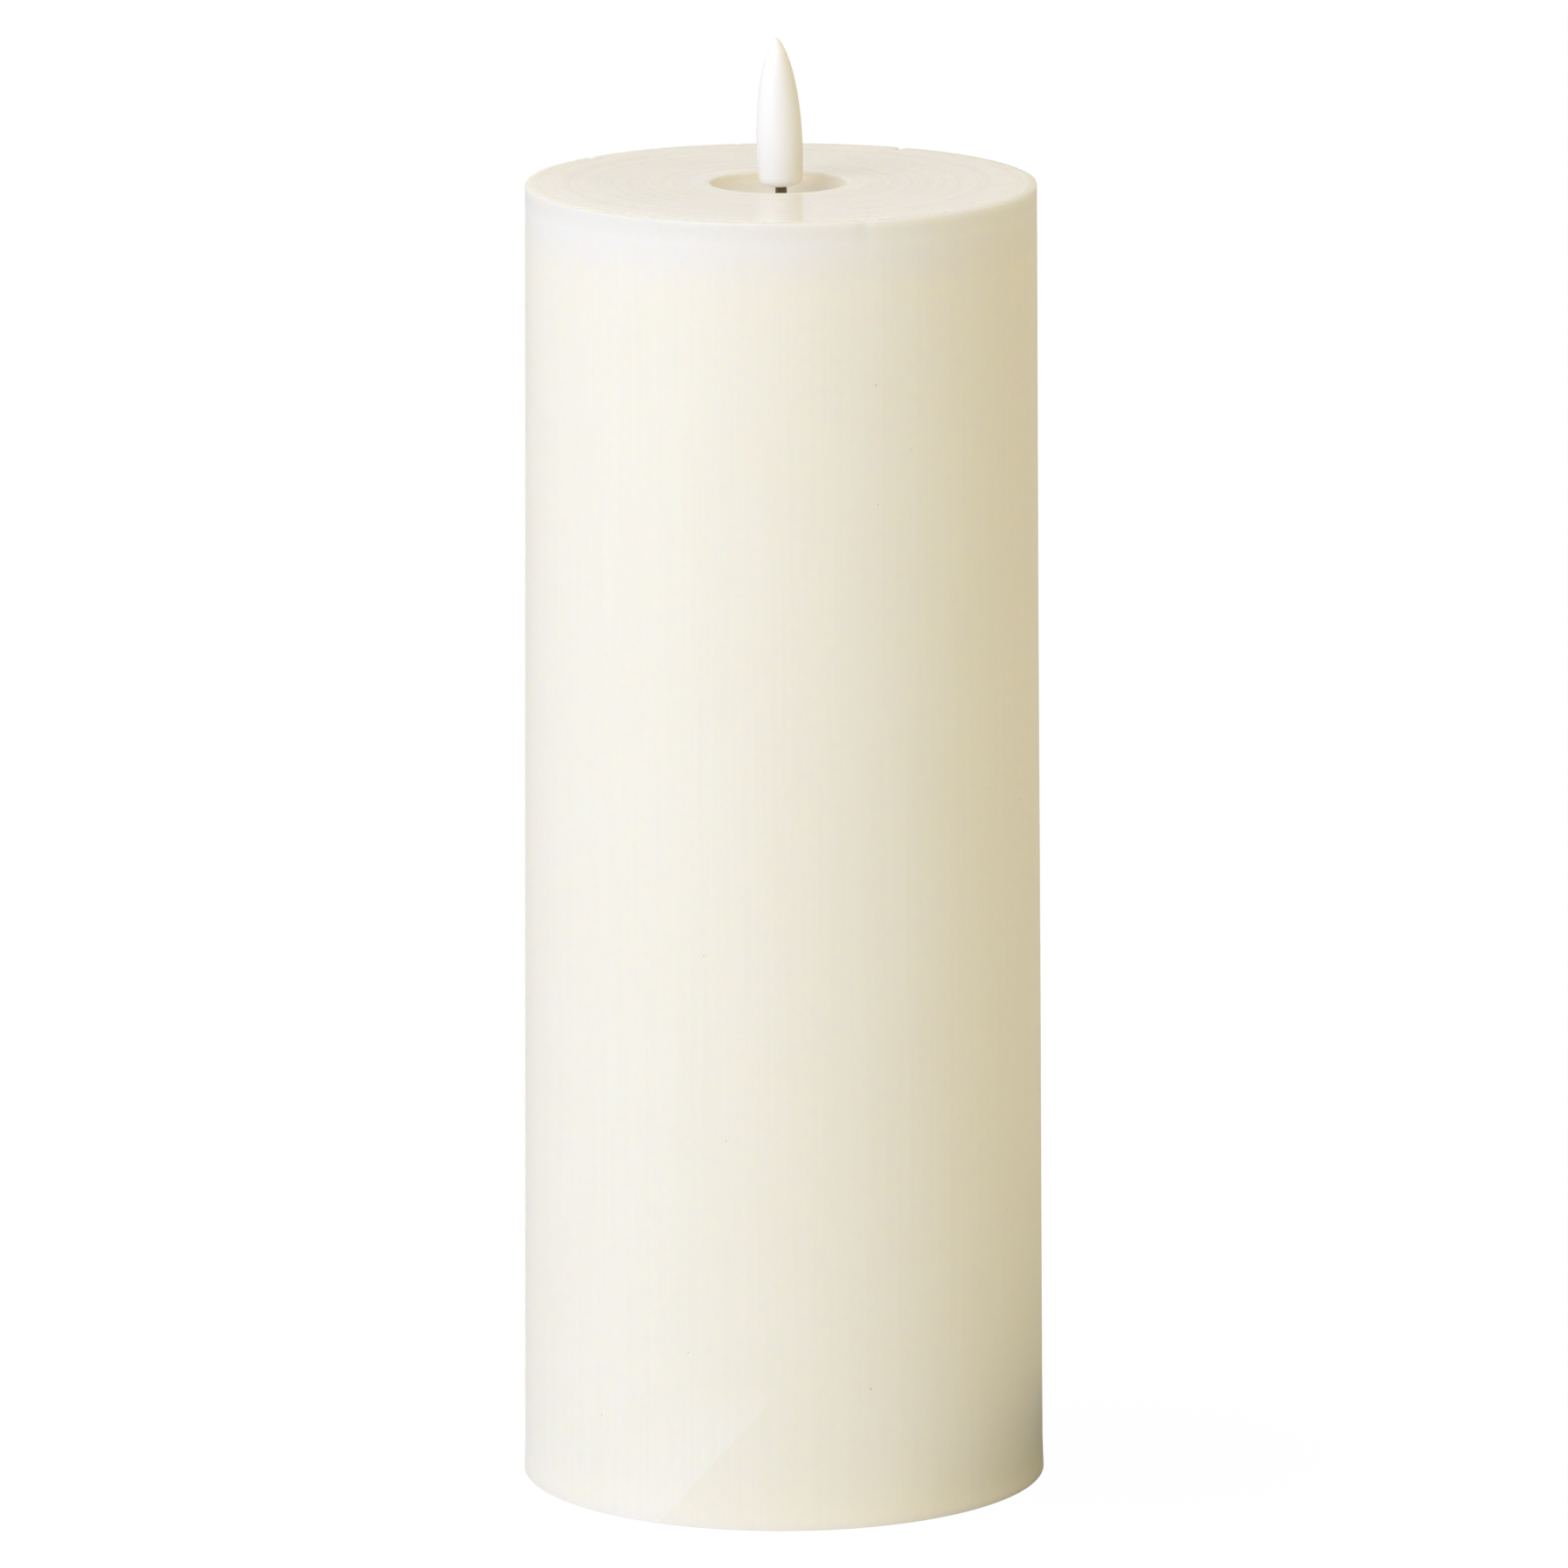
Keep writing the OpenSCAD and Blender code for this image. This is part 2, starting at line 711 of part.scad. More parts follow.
// Legs of the chip, and the solder on the pins of the switch, all of tin
module solder_joints() {
    leg = [0.4, 1.2, 0.5];
    color("gainsboro") {
        for (y = [chip_at[1] - leg[1], chip_at[1] + chip_size[1]], i = [0:3])
            translate([chip_at[0] + 0.4 + chip_pitch * i, y, board_top]) cube(leg);
        for (i = [-1.5:1.5])
            translate([switch_pin_pitch * i, board_y - 1.5, board_top])
                cylinder(h = 0.6, r1 = 0.8, r2 = 0.3, $fn = 24);
    }
}

module switch_body() {
    slot_x = post_l / 2 + slide_travel + gap;
    low = plate_top + 0.4;
    color("silver")
        difference() {
            block([-switch_l / 2, board_y - switch_w / 2, low],
                [switch_l / 2, board_y + switch_w / 2, board_z]);
            block([-slot_x, board_y - post_w / 2 - gap, low - over],
                [slot_x, board_y + post_w / 2 + gap, low + 1.3]);
        }
}

module switch_actuator() {
    color("#202020")
        block([-post_l / 2, board_y - post_w / 2, knob_z + 0.9],
            [post_l / 2, board_y + post_w / 2, plate_top + 1.3]);
}

module switch_knob() {
    ribs = 5;
    rib_pitch = 1.4;
    rib_t = 0.6;
    color("#303030")
        difference() {
            union() {
                block([-knob_l / 2, board_y - knob_w / 2, knob_z + rib_t - 0.1],
                    [knob_l / 2, board_y + knob_w / 2, knob_top]);
                for (i = [0:ribs - 1])
                    translate([rib_pitch * (i - (ribs - 1) / 2), board_y, knob_z + rib_t / 2])
                        cube([rib_t, knob_w - 1, rib_t], center = true);
            }
            block([-post_l / 2, board_y - post_w / 2, knob_z + 0.9],
                [post_l / 2, board_y + post_w / 2, knob_top + over]);
        }
}

wax_shell();
flame_shell();
wick_sleeve();
flame_led();
wick_plug();
joint_sleeves();
flame_lead_red();
flame_lead_black();
base_housing();
base_glue_ring();
module_cover();
cover_screws();
battery_door();
door_latch();
aa_cell_1();
aa_cell_2();
positive_contact();
negative_contact();
bridge_contact();
battery_lead_red();
battery_lead_black();
control_board();
board_screws();
timer_chip();
timer_crystal();
capacitor();
resistors();
solder_joints();
switch_body();
switch_actuator();
switch_knob();
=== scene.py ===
"""Looks of a flameless LED pillar candle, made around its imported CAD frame. Lengths are in metres."""
import math

import bpy
import numpy as np
from mathutils import Matrix, Vector


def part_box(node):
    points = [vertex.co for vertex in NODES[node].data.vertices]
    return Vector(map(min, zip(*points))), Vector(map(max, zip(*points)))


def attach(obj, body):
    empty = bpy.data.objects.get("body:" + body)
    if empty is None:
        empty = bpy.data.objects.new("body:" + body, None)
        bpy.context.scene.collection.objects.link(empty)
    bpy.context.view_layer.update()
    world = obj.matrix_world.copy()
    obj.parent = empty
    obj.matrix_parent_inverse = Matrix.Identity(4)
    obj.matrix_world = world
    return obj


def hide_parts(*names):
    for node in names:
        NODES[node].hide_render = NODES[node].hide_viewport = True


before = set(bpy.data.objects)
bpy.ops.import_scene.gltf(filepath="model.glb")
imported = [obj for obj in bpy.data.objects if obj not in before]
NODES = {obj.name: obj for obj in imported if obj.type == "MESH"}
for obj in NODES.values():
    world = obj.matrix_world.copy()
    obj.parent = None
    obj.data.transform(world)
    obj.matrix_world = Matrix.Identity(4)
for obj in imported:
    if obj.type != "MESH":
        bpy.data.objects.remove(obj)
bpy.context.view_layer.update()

MM = 0.001


# ---------------------------------------------------------------- camera

# The view of the photograph: a long lens, slightly above the candle and looking down at it.
# The place and angles were fitted to the ellipses of the candle's top and foot.
CAMERA_BACK = 2.492
CAMERA_UP = 0.648
CAMERA_SIDE = 0.0003
CAMERA_PITCH = math.radians(11.657)
CAMERA_ROLL = math.radians(-0.14)
LENS = 306.4
SENSOR = 36.0


def make_camera():
    data = bpy.data.cameras.new("camera")
    data.lens = LENS
    data.sensor_width = SENSOR
    data.clip_start = 0.1
    data.clip_end = 60
    camera = bpy.data.objects.new("camera", data)
    bpy.context.scene.collection.objects.link(camera)
    camera.location = (CAMERA_SIDE, -CAMERA_BACK, CAMERA_UP)
    turn = Matrix.Rotation(math.pi / 2 - CAMERA_PITCH, 4, "X") @ Matrix.Rotation(CAMERA_ROLL, 4, "Z")
    camera.rotation_euler = turn.to_euler()
    bpy.context.scene.camera = camera


# ---------------------------------------------------------------- materials

class Nodes:
    """A node tree being made, with short names for the nodes that the looks need."""

    def __init__(self, owner):
        owner.use_nodes = True
        self.tree = owner.node_tree
        self.place = self.node("TexCoord").outputs["Object"]

    def node(self, kind, inputs=None, **settings):
        made = self.tree.nodes.new("ShaderNode" + kind)
        for key, value in settings.items():
            setattr(made, key, value)
        for key, value in (inputs or {}).items():
            self.feed(made.inputs[key], value)
        return made

    def feed(self, socket, value):
        if isinstance(value, bpy.types.NodeSocket):
            self.tree.links.new(value, socket)
        else:
            socket.default_value = value

    def math(self, operation, a, b=0.0):
        return self.node("Math", {0: a, 1: b}, operation=operation).outputs[0]

    def vector_math(self, operation, a, b=(0, 0, 0)):
        made = self.node("VectorMath", {0: a, 1: b}, operation=operation)
        return made.outputs["Value" if operation in ("LENGTH", "DOT_PRODUCT") else "Vector"]

    def split(self, vector):
        return self.node("SeparateXYZ", {0: vector}).outputs

    def noise(self, size, detail=3.0, roughness=0.5, stretch=(1, 1, 1)):
        """Noise of features about size metres across, stretched along each axis."""
        scaled = self.vector_math("DIVIDE", self.place, tuple(s * size for s in stretch))
        return self.node("TexNoise", {"Vector": scaled, "Scale": 1.0, "Detail": detail,
                                      "Roughness": roughness}).outputs[0]

    def line_noise(self, value, size, detail=2.0):
        """Noise along one value, in metres."""
        return self.node("TexNoise", {"W": self.math("DIVIDE", value, size), "Scale": 1.0,
                                      "Detail": detail}, noise_dimensions="1D").outputs[0]

    def dots(self, pitch, radius):
        """1 inside scattered dots of a radius, 0 elsewhere, one dot to a cell of the pitch."""
        scaled = self.vector_math("DIVIDE", self.place, (pitch,) * 3)
        apart = self.node("TexVoronoi", {"Vector": scaled, "Scale": 1.0}).outputs["Distance"]
        return self.fade(apart, radius / pitch, 0.5 * radius / pitch)

    def fade(self, value, low, high, to_low=0.0, to_high=1.0):
        """Value mapped from the range low..high to to_low..to_high, and held at its ends."""
        return self.node("MapRange", {"Value": value, "From Min": low, "From Max": high,
                                      "To Min": to_low, "To Max": to_high}).outputs[0]

    def mix(self, amount, a, b):
        """Colour a where amount is 0 and b where it is 1."""
        made = self.node("Mix", data_type="RGBA")
        self.feed(made.inputs[0], amount)
        for socket, colour in ((made.inputs[6], a), (made.inputs[7], b)):
            self.feed(socket, colour if isinstance(colour, bpy.types.NodeSocket) else (*colour, 1))
        return made.outputs[2]


class Paint(Nodes):
    """A material being made: its nodes and its shader."""

    def __init__(self, name, **sockets):
        self.material = bpy.data.materials.new(name)
        super().__init__(self.material)
        self.shader = self.tree.nodes["Principled BSDF"]
        self.set(**sockets)

    def set(self, **sockets):
        """Shader sockets by name, with _ for a space: set(Base_Color=...)."""
        for key, value in sockets.items():
            if key.endswith("Color") and not isinstance(value, bpy.types.NodeSocket):
                value = (*value[:3], 1)
            self.feed(self.shader.inputs[key.replace("_", " ")], value)

    def bump(self, *layers):
        """Bump from (height from 0 to 1, its depth in metres) layers, one over the other."""
        normal = None
        for height, depth in layers:
            made = self.node("Bump", {"Height": height, "Distance": depth, "Strength": 1.0})
            if normal is not None:
                self.feed(made.inputs["Normal"], normal)
            normal = made.outputs["Normal"]
        self.feed(self.shader.inputs["Normal"], normal)


def dress(piece, *paints):
    """Gives a piece these materials in place of its own."""
    piece.data.materials.clear()
    for paint in paints:
        piece.data.materials.append(paint.material)


# ---------------------------------------------------------------- meshes

def new_piece(name, points, faces, body):
    """A smooth-shaded mesh of this name that rides on a body."""
    mesh = bpy.data.meshes.new(name)
    mesh.from_pydata([tuple(p) for p in points], [], faces)
    mesh.validate()
    mesh.polygons.foreach_set("use_smooth", [True] * len(mesh.polygons))
    piece = bpy.data.objects.new(name, mesh)
    bpy.context.scene.collection.objects.link(piece)
    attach(piece, body)
    return piece


def ring_grid(profile, segments):
    """Points of a closed outline of (radius, height, shift along X) turned about the Z axis."""
    outline = np.array(profile, float)
    angle = np.linspace(0, 2 * math.pi, segments, endpoint=False)
    x = outline[:, :1] * np.cos(angle) + outline[:, 2:]
    y = outline[:, :1] * np.sin(angle)
    z = np.repeat(outline[:, 1:2], segments, axis=1)
    return np.stack([x, y, z], axis=2)


def grid_faces(rings, segments, closed):
    """Quads of a grid that wraps round each ring and, if closed, from the last ring to the first."""
    last = rings if closed else rings - 1
    return [(i * segments + k, i * segments + (k + 1) % segments,
             (i + 1) % rings * segments + (k + 1) % segments, (i + 1) % rings * segments + k)
            for i in range(last) for k in range(segments)]


def lathe(name, profile, segments, body, place=None):
    """A solid turned from (radius, height) points that begin and end on the axis."""
    inner = [(r, z, 0.0) for r, z in profile[1:-1]]
    points = ring_grid(inner, segments).reshape(-1, 3)
    count = len(points)
    points = np.vstack([points, [0, 0, profile[0][1]], [0, 0, profile[-1][1]]])
    faces = grid_faces(len(inner), segments, False)
    last = count - segments
    for k in range(segments):
        after = (k + 1) % segments
        faces.append((count, after, k))
        faces.append((count + 1, last + k, last + after))
    if place is not None:
        points = points @ np.array(place.to_3x3()).T + np.array(place.translation)
    return new_piece(name, points, faces, body)


def arc(centre, radius, start, end, steps):
    """Points of an arc, with its angles in degrees, both ends included."""
    angles = [math.radians(start + (end - start) * i / steps) for i in range(steps + 1)]
    return [(centre[0] + radius * math.cos(a), centre[1] + radius * math.sin(a)) for a in angles]


def steps_between(a, b, count):
    """Points from a to b with a left out and b kept."""
    return [tuple(p + (q - p) * (i + 1) / count for p, q in zip(a, b)) for i in range(count)]


def waves(points, size, seed, count=7):
    """Smooth, repeatable unevenness from -1 to 1 with features about size across, for each point."""
    rng = np.random.default_rng(seed)
    total = np.zeros(len(points))
    for _ in range(count):
        direction = rng.normal(size=3)
        direction /= np.linalg.norm(direction)
        turns = points @ direction / size * rng.uniform(0.6, 1.5)
        total += np.sin(2 * math.pi * turns + rng.uniform(0, 2 * math.pi))
    return total / count


# ---------------------------------------------------------------- wax body

WAX_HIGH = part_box("wax_shell")[1]
FOOT_R = WAX_HIGH.x
WAX_TOP = WAX_HIGH.z
TOP_R = 48.5 * MM
WALL = 7.2 * MM
CEILING = WAX_TOP - 13 * MM
RIM_R = 0.5 * MM
FOOT_EDGE = 0.12 * MM
DISH_R = 13 * MM
DISH_DEPTH = 5 * MM
DISH_SHIFT = -0.5 * MM
BORE_R = 1.3 * MM
SOCKET_R = 4 * MM
SOCKET_TOP = CEILING + 6 * MM
LIP_R = 0.25 * MM
INNER_CORNER_R = 3 * MM
WAX_SEGMENTS = 480

# Unevenness of the side: size of its features, seed of their places, depth.
SIDE_WAVES = [(70 * MM, 3, 0.09 * MM), (16 * MM, 5, 0.022 * MM)]
SIDE_INSET = 0.16 * MM
# Marks of the turning tool on the top: pitch of the rings, weight, phase.
TURNED_RINGS = [(2.9 * MM, 1.0, 0), (4.3 * MM, 0.8, 1)]
RING_DEPTH = 0.007 * MM
# Small knocks in the rim: angle about the axis in degrees, width along the rim and depth in millimetres.
RIM_CHIPS = [(139.5, 1.6, 0.45), (61, 1.5, 0.5), (-71, 2.4, 0.28), (20, 1.2, 0.25), (100, 0.9, 0.2)]
# The pour line: a faint step in the wax that runs up and round from the foot, angles in degrees.
POUR_LINE_START, POUR_LINE_END, POUR_LINE_TOP = -118.5, -90, 28 * MM
POUR_LINE_SOFT, POUR_LINE_REACH = 0.35, 26
POUR_LINE_SHARP, POUR_LINE_STEP = 3, 0.12 * MM


def wax_profile():
    """Closed outline of the wax, from the bore over the dish, rim and foot and back up the cavity."""
    reach = [DISH_R * math.sin(math.radians(a)) for a in np.linspace(6, 88, 20)]
    dish = [(r, WAX_TOP - DISH_DEPTH * math.sqrt(1 - (r / DISH_R) ** 3)) for r in reach]
    lip = arc((DISH_R + LIP_R, WAX_TOP - LIP_R), LIP_R, 170, 90, 4)
    flat = steps_between(lip[-1], (TOP_R - RIM_R, WAX_TOP), 90)
    rim = arc((TOP_R - RIM_R, WAX_TOP - RIM_R), RIM_R, 85, 0, 7)
    side = steps_between(rim[-1], (FOOT_R, FOOT_EDGE), 44)
    foot = arc((FOOT_R - FOOT_EDGE, FOOT_EDGE), FOOT_EDGE, -10, -90, 5)
    inner_foot = (FOOT_R - WALL, 0.0)
    ring = steps_between(foot[-1], inner_foot, 5)
    wall = steps_between(inner_foot, (TOP_R - WALL, CEILING - INNER_CORNER_R), 10)
    centre = (TOP_R - WALL - INNER_CORNER_R, CEILING - INNER_CORNER_R)
    corner = arc(centre, INNER_CORNER_R, 15, 90, 4)
    ceiling = steps_between(corner[-1], (SOCKET_R, CEILING), 4)
    socket = [(SOCKET_R, SOCKET_TOP), (BORE_R, SOCKET_TOP)]
    bore = steps_between(socket[-1], (BORE_R, WAX_TOP - DISH_DEPTH), 3)
    outline = dish + lip + flat + rim + side + foot + ring + wall + corner + ceiling + socket + bore
    return [(r, z, dish_shift(r, z)) for r, z in outline]


def dish_shift(r, z):
    """The dish sits off the axis, and the shift dies away towards the bore and the rim."""
    if z < WAX_TOP - DISH_DEPTH - 0.1 * MM:
        return 0.0
    inward = min(1.0, max(0.0, (r - BORE_R) / (3 * MM)))
    outward = min(1.0, max(0.0, (TOP_R - r) / (TOP_R - DISH_R)))
    return DISH_SHIFT * inward * outward


def shape_wax(points):
    """The unevenness of poured and turned wax: wavy side, turned top, knocked rim and pour line."""
    x, y, z = points.T
    radius = np.hypot(x, y)
    angle = np.degrees(np.arctan2(y, x))
    out = np.stack([x / np.maximum(radius, 1e-9), y / np.maximum(radius, 1e-9)], axis=1)
    side = np.clip((radius - (TOP_R - 3.5 * MM)) / (2 * MM), 0, 1) * np.clip(z / (3 * MM), 0, 1)
    push = sum(waves(points, size, seed) * depth for size, seed, depth in SIDE_WAVES) - SIDE_INSET
    push = (push + pour_step(angle, z)) * side
    points[:, :2] += out * push[:, None]
    on_top = (z > WAX_TOP - 0.2 * MM) & (radius > DISH_R + 1 * MM)
    reach = radius + waves(points, 40 * MM, 11) * 0.25 * MM
    turned = sum(weight * np.sin(reach / pitch * 2 * math.pi + phase)
                 for pitch, weight, phase in TURNED_RINGS)
    sunk = waves(points, 60 * MM, 17) * 0.05 * MM - 0.06 * MM
    points[:, 2] += np.where(on_top, turned * RING_DEPTH + sunk, 0)
    for at, width, depth in RIM_CHIPS:
        away = (angle - at + 180) % 360 - 180
        along = np.radians(away) * TOP_R / (width * MM / 2)
        up = (z - (WAX_TOP - 0.5 * MM)) / (1.1 * MM)
        dent = np.exp(-along ** 4 - up ** 4) * depth * MM * (radius > TOP_R - 2.6 * MM)
        points[:, :2] -= out * dent[:, None]
        points[:, 2] -= dent * 0.6
    return points


def pour_step(angle, z):
    """Outward step of the pour line: the wax on its left stands a hair proud."""
    share = np.clip(z / POUR_LINE_TOP, 0, 1)
    line = POUR_LINE_START + (POUR_LINE_END - POUR_LINE_START) * share
    left = 1 / (1 + np.exp((angle - line) * POUR_LINE_SHARP))
    near = np.clip(1 - np.abs(angle - line) / POUR_LINE_REACH, 0, 1)
    under = np.clip((POUR_LINE_TOP - z) / (8 * MM), 0, 1)
    return left * near * under * POUR_LINE_STEP


def make_wax():
    profile = wax_profile()
    points = shape_wax(ring_grid(profile, WAX_SEGMENTS).reshape(-1, 3))
    faces = [f[::-1] for f in grid_faces(len(profile), WAX_SEGMENTS, True)]
    wax = new_piece("wax_body", points, faces, "candle")
    dress(wax, wax_paint())
    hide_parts("wax_shell")


def wax_paint():
    """Ivory paraffin wax: light goes deep into it, and its turned top has fine rings and pits."""
    p = Paint("wax", IOR=1.44, Subsurface_Scale=0.007, Subsurface_Radius=(1.0, 0.82, 0.5))
    place = p.split(p.place)
    # No light leaks out through the foot's edge, which stands on the floor.
    p.set(Subsurface_Weight=p.fade(place[2], 0.1 * MM, 1.8 * MM))
    flat = p.node("CombineXYZ", {0: p.math("SUBTRACT", place[0], DISH_SHIFT), 1: place[1]}).outputs[0]
    radius = p.vector_math("LENGTH", flat)
    top = p.math("MULTIPLY", p.fade(place[2], WAX_TOP - 0.5 * MM, WAX_TOP - 0.2 * MM),
                 p.fade(radius, DISH_R, DISH_R + 0.5 * MM))
    rings = wax_rings(p, place, radius, top)
    mottle = p.noise(24 * MM, 2)
    draw = p.noise(0.9 * MM, 2, 0.5, stretch=(1, 1, 60))
    cloud = p.noise(2.6 * MM, 3, 0.5)
    holes = wax_holes(p, top)
    flecks = p.math("MULTIPLY", p.dots(10 * MM, 0.45 * MM), p.fade(p.noise(15 * MM, 1), 0.60, 0.62))

    colour = p.mix(mottle, (0.890, 0.872, 0.768), (0.905, 0.894, 0.800))
    colour = p.mix(p.fade(cloud, 0.35, 0.7, 0.0, 0.15), colour, (0.915, 0.908, 0.815))
    colour = wax_rim_painted_light(p, place, radius, top, colour)
    colour = wax_dish_painted_shade(p, place, radius, colour)
    colour = p.mix(p.math("MULTIPLY", rings, 0.6), colour, (0.775, 0.715, 0.585))
    colour = p.mix(p.math("MULTIPLY", whiter_left_of_pour_line(p, place), 0.55), colour, (0.935, 0.934, 0.868))
    colour = p.mix(p.fade(draw, 0.35, 0.65, 0.0, 0.12), colour, (0.80, 0.79, 0.66))
    colour = p.mix(p.math("MULTIPLY", flecks, 0.5), colour, (0.97, 0.96, 0.93))
    colour = p.mix(p.math("MULTIPLY", holes, 0.6), colour, (0.42, 0.36, 0.26))
    p.set(Base_Color=colour)

    smooth = p.math("MULTIPLY", top, p.fade(radius, TOP_R - 1.2 * MM, TOP_R - 2.2 * MM))
    scuffs = p.fade(p.noise(3.5 * MM, 4, 0.6, stretch=(1, 1, 2.5)), 0.45, 0.75)
    rough = p.fade(scuffs, 0, 1, 0.38, 0.46)
    p.set(Roughness=p.math("SUBTRACT", rough, p.math("MULTIPLY", smooth, 0.28)))
    p.bump((mottle, 0.07 * MM), (cloud, 0.006 * MM), (draw, 0.004 * MM), (rings, 0.008 * MM),
           (p.math("SUBTRACT", 1.0, holes), 0.10 * MM))
    return p


def wax_rings(p, place, radius, top):
    """Fine and broad rings of the turned top, worn in places and fainter near its front."""
    wobble = p.math("ADD", radius, p.math("MULTIPLY", p.noise(45 * MM, 1), 1.2 * MM))
    worn = p.fade(p.noise(15 * MM, 2), 0.35, 0.65, 0.5, 1.0)
    fine = p.fade(p.line_noise(wobble, 0.75 * MM, 2), 0.38, 0.62)
    broad = p.fade(p.line_noise(wobble, 3.0 * MM, 1), 0.40, 0.60)
    rings = p.math("ADD", p.math("MULTIPLY", fine, 0.55), p.math("MULTIPLY", broad, 0.45))
    rings = p.math("MULTIPLY", p.math("MULTIPLY", rings, worn), top)
    near = p.fade(place[1], -5 * MM, -42 * MM)
    return p.math("MULTIPLY", rings, p.fade(near, 0, 1, 1.0, 0.45))


def wax_holes(p, top):
    """Air pits in patches anywhere, and smaller nicks in patches of the top."""
    patch = p.fade(p.noise(17 * MM, 1), 0.55, 0.60)
    pits = p.math("MULTIPLY", p.dots(5.5 * MM, 0.22 * MM), patch)
    nicks = p.math("MULTIPLY", p.dots(1.7 * MM, 0.15 * MM), p.fade(p.noise(8 * MM, 1), 0.50, 0.56))
    return p.math("MAXIMUM", pits, p.math("MULTIPLY", nicks, top))


def wax_rim_painted_light(p, place, radius, top, colour):
    """Colour with painted light and shade round the rim: a cooler band under it that stands in for the
    less yellow shade where the wax is solid, a painted shade on its lip that tones down the highlight
    along its edge, and a top painted lighter towards its front and whiter still towards its front left,
    where the light falls.
    """
    outside = p.fade(radius, TOP_R - 1.8 * MM, TOP_R - 0.8 * MM)
    # Painted light: a cooler band under the rim stands in for the less yellow shade where the wax is
    # solid.
    solid = p.math("MULTIPLY", outside, p.fade(place[2], WAX_TOP - 14 * MM, WAX_TOP - 5 * MM))
    colour = p.mix(solid, colour, (0.840, 0.850, 0.835))
    # Painted shade: the lip just under the rim's edge is darker, to tone down the highlight along it.
    lip = p.math("MULTIPLY", outside, p.fade(place[2], WAX_TOP - 4.5 * MM, WAX_TOP - 0.8 * MM))
    colour = p.mix(lip, colour, (0.745, 0.760, 0.748))
    # Painted light: the top is lighter towards its front, where the light falls on it.
    plane = p.mix(p.fade(place[1], 45 * MM, -45 * MM), (0.872, 0.848, 0.828), (0.898, 0.880, 0.870))
    # Painted light: the top is whiter still towards its front left, the side the key light comes from.
    painted_light_front_left = p.fade(p.vector_math("DOT_PRODUCT", p.place, (-0.8, -0.6, 0)), 25 * MM, 46 * MM)
    plane = p.mix(painted_light_front_left, plane, (0.930, 0.932, 0.962))
    return p.mix(p.math("MULTIPLY", top, p.math("SUBTRACT", 1.0, outside)), colour, plane)


def wax_dish_painted_shade(p, place, radius, colour):
    """Colour with painted shade in the dish: darker and warmer in its hollow, bluer to its left and
    warmer to its right to offset the colour of the light on its walls, and darker still at its brink,
    which takes out a highlight there.
    """
    floor_z = WAX_TOP - DISH_DEPTH
    dish = p.math("MULTIPLY", p.fade(radius, DISH_R + 0.35 * MM, DISH_R + 0.15 * MM),
                  p.fade(place[2], floor_z - 1.5 * MM, floor_z - 0.5 * MM))
    # Painted shade: the hollow of the dish is darker than the top, bluer on its left and warmer on its
    # right.
    bowl = p.mix(p.fade(place[0], -12 * MM, 12 * MM), (0.842, 0.812, 0.750), (0.820, 0.778, 0.665))
    # Painted shade: the brink is darker still, which tones down the light on its far wall.
    brink = p.math("MULTIPLY", dish, p.fade(place[2], WAX_TOP - 1.6 * MM, WAX_TOP - 0.3 * MM))
    return p.mix(brink, p.mix(dish, colour, bowl), (0.740, 0.705, 0.630))


def whiter_left_of_pour_line(p, place):
    """1 just left of the pour line, and less away from it: where the wax is coloured whiter."""
    angle = p.math("DEGREES", p.math("ARCTAN2", place[1], place[0]))
    share = p.fade(place[2], 0.0, POUR_LINE_TOP)
    line = p.fade(share, 0.0, 1.0, POUR_LINE_START, POUR_LINE_END)
    past = p.math("SUBTRACT", angle, line)
    left = p.fade(past, POUR_LINE_SOFT, -POUR_LINE_SOFT)
    near = p.fade(past, -POUR_LINE_REACH, 0.0)
    return p.math("MULTIPLY", p.math("MULTIPLY", left, near), p.fade(share, 1.0, 0.75))


# ---------------------------------------------------------------- flame and wick

FLAME_R = 4.35 * MM
FLAME_H = 28.2 * MM
FLAME_BASE = WAX_TOP - 0.62 * MM
FLAME_WAIST = 0.235 * FLAME_H
FLAME_LEAN = math.radians(1.7)
FLAME_WALL = 1.9 * MM
FLAME_FLOOR = 1.1 * MM
FLAME_TIP = 3.9 * MM
FLAME_CORNER = 1.8 * MM
FLAME_BORE = 1.25 * MM


def bullet(radius, foot, corner, waist, height, steps):
    """Half outline of a flame, from the corner of its foot up to its tip."""
    outline = arc((foot - corner, corner), corner, -90, 0, 10)
    for i in range(1, steps + 1):
        t = math.sin(math.pi / 2 * i / steps)
        outline.append((radius * (1 - t ** 2.2) ** 0.65, waist + (height - waist) * t))
    return outline


def make_flame():
    inner_r = FLAME_R - FLAME_WALL
    inner_h = FLAME_H - FLAME_FLOOR - FLAME_TIP
    outside = bullet(FLAME_R, FLAME_R - 0.16 * MM, FLAME_CORNER, FLAME_WAIST, FLAME_H, 56)
    inside = bullet(inner_r, inner_r - 0.2 * MM, 0.3 * MM, FLAME_WAIST, inner_h, 24)
    inside = [(r, z + FLAME_FLOOR) for r, z in reversed(inside)]
    bevel = 0.15 * MM
    bore = [(FLAME_BORE, FLAME_FLOOR), (FLAME_BORE, bevel), (FLAME_BORE + bevel, 0)]
    profile = inside + bore + outside
    profile[0] = (0, profile[0][1])
    place = Matrix.Translation((0, 0, FLAME_BASE)) @ Matrix.Rotation(-FLAME_LEAN, 4, "Y")
    flame = lathe("flame_body", profile, 128, "candle", place)
    dress(flame, flame_paint())
    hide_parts("flame_shell")


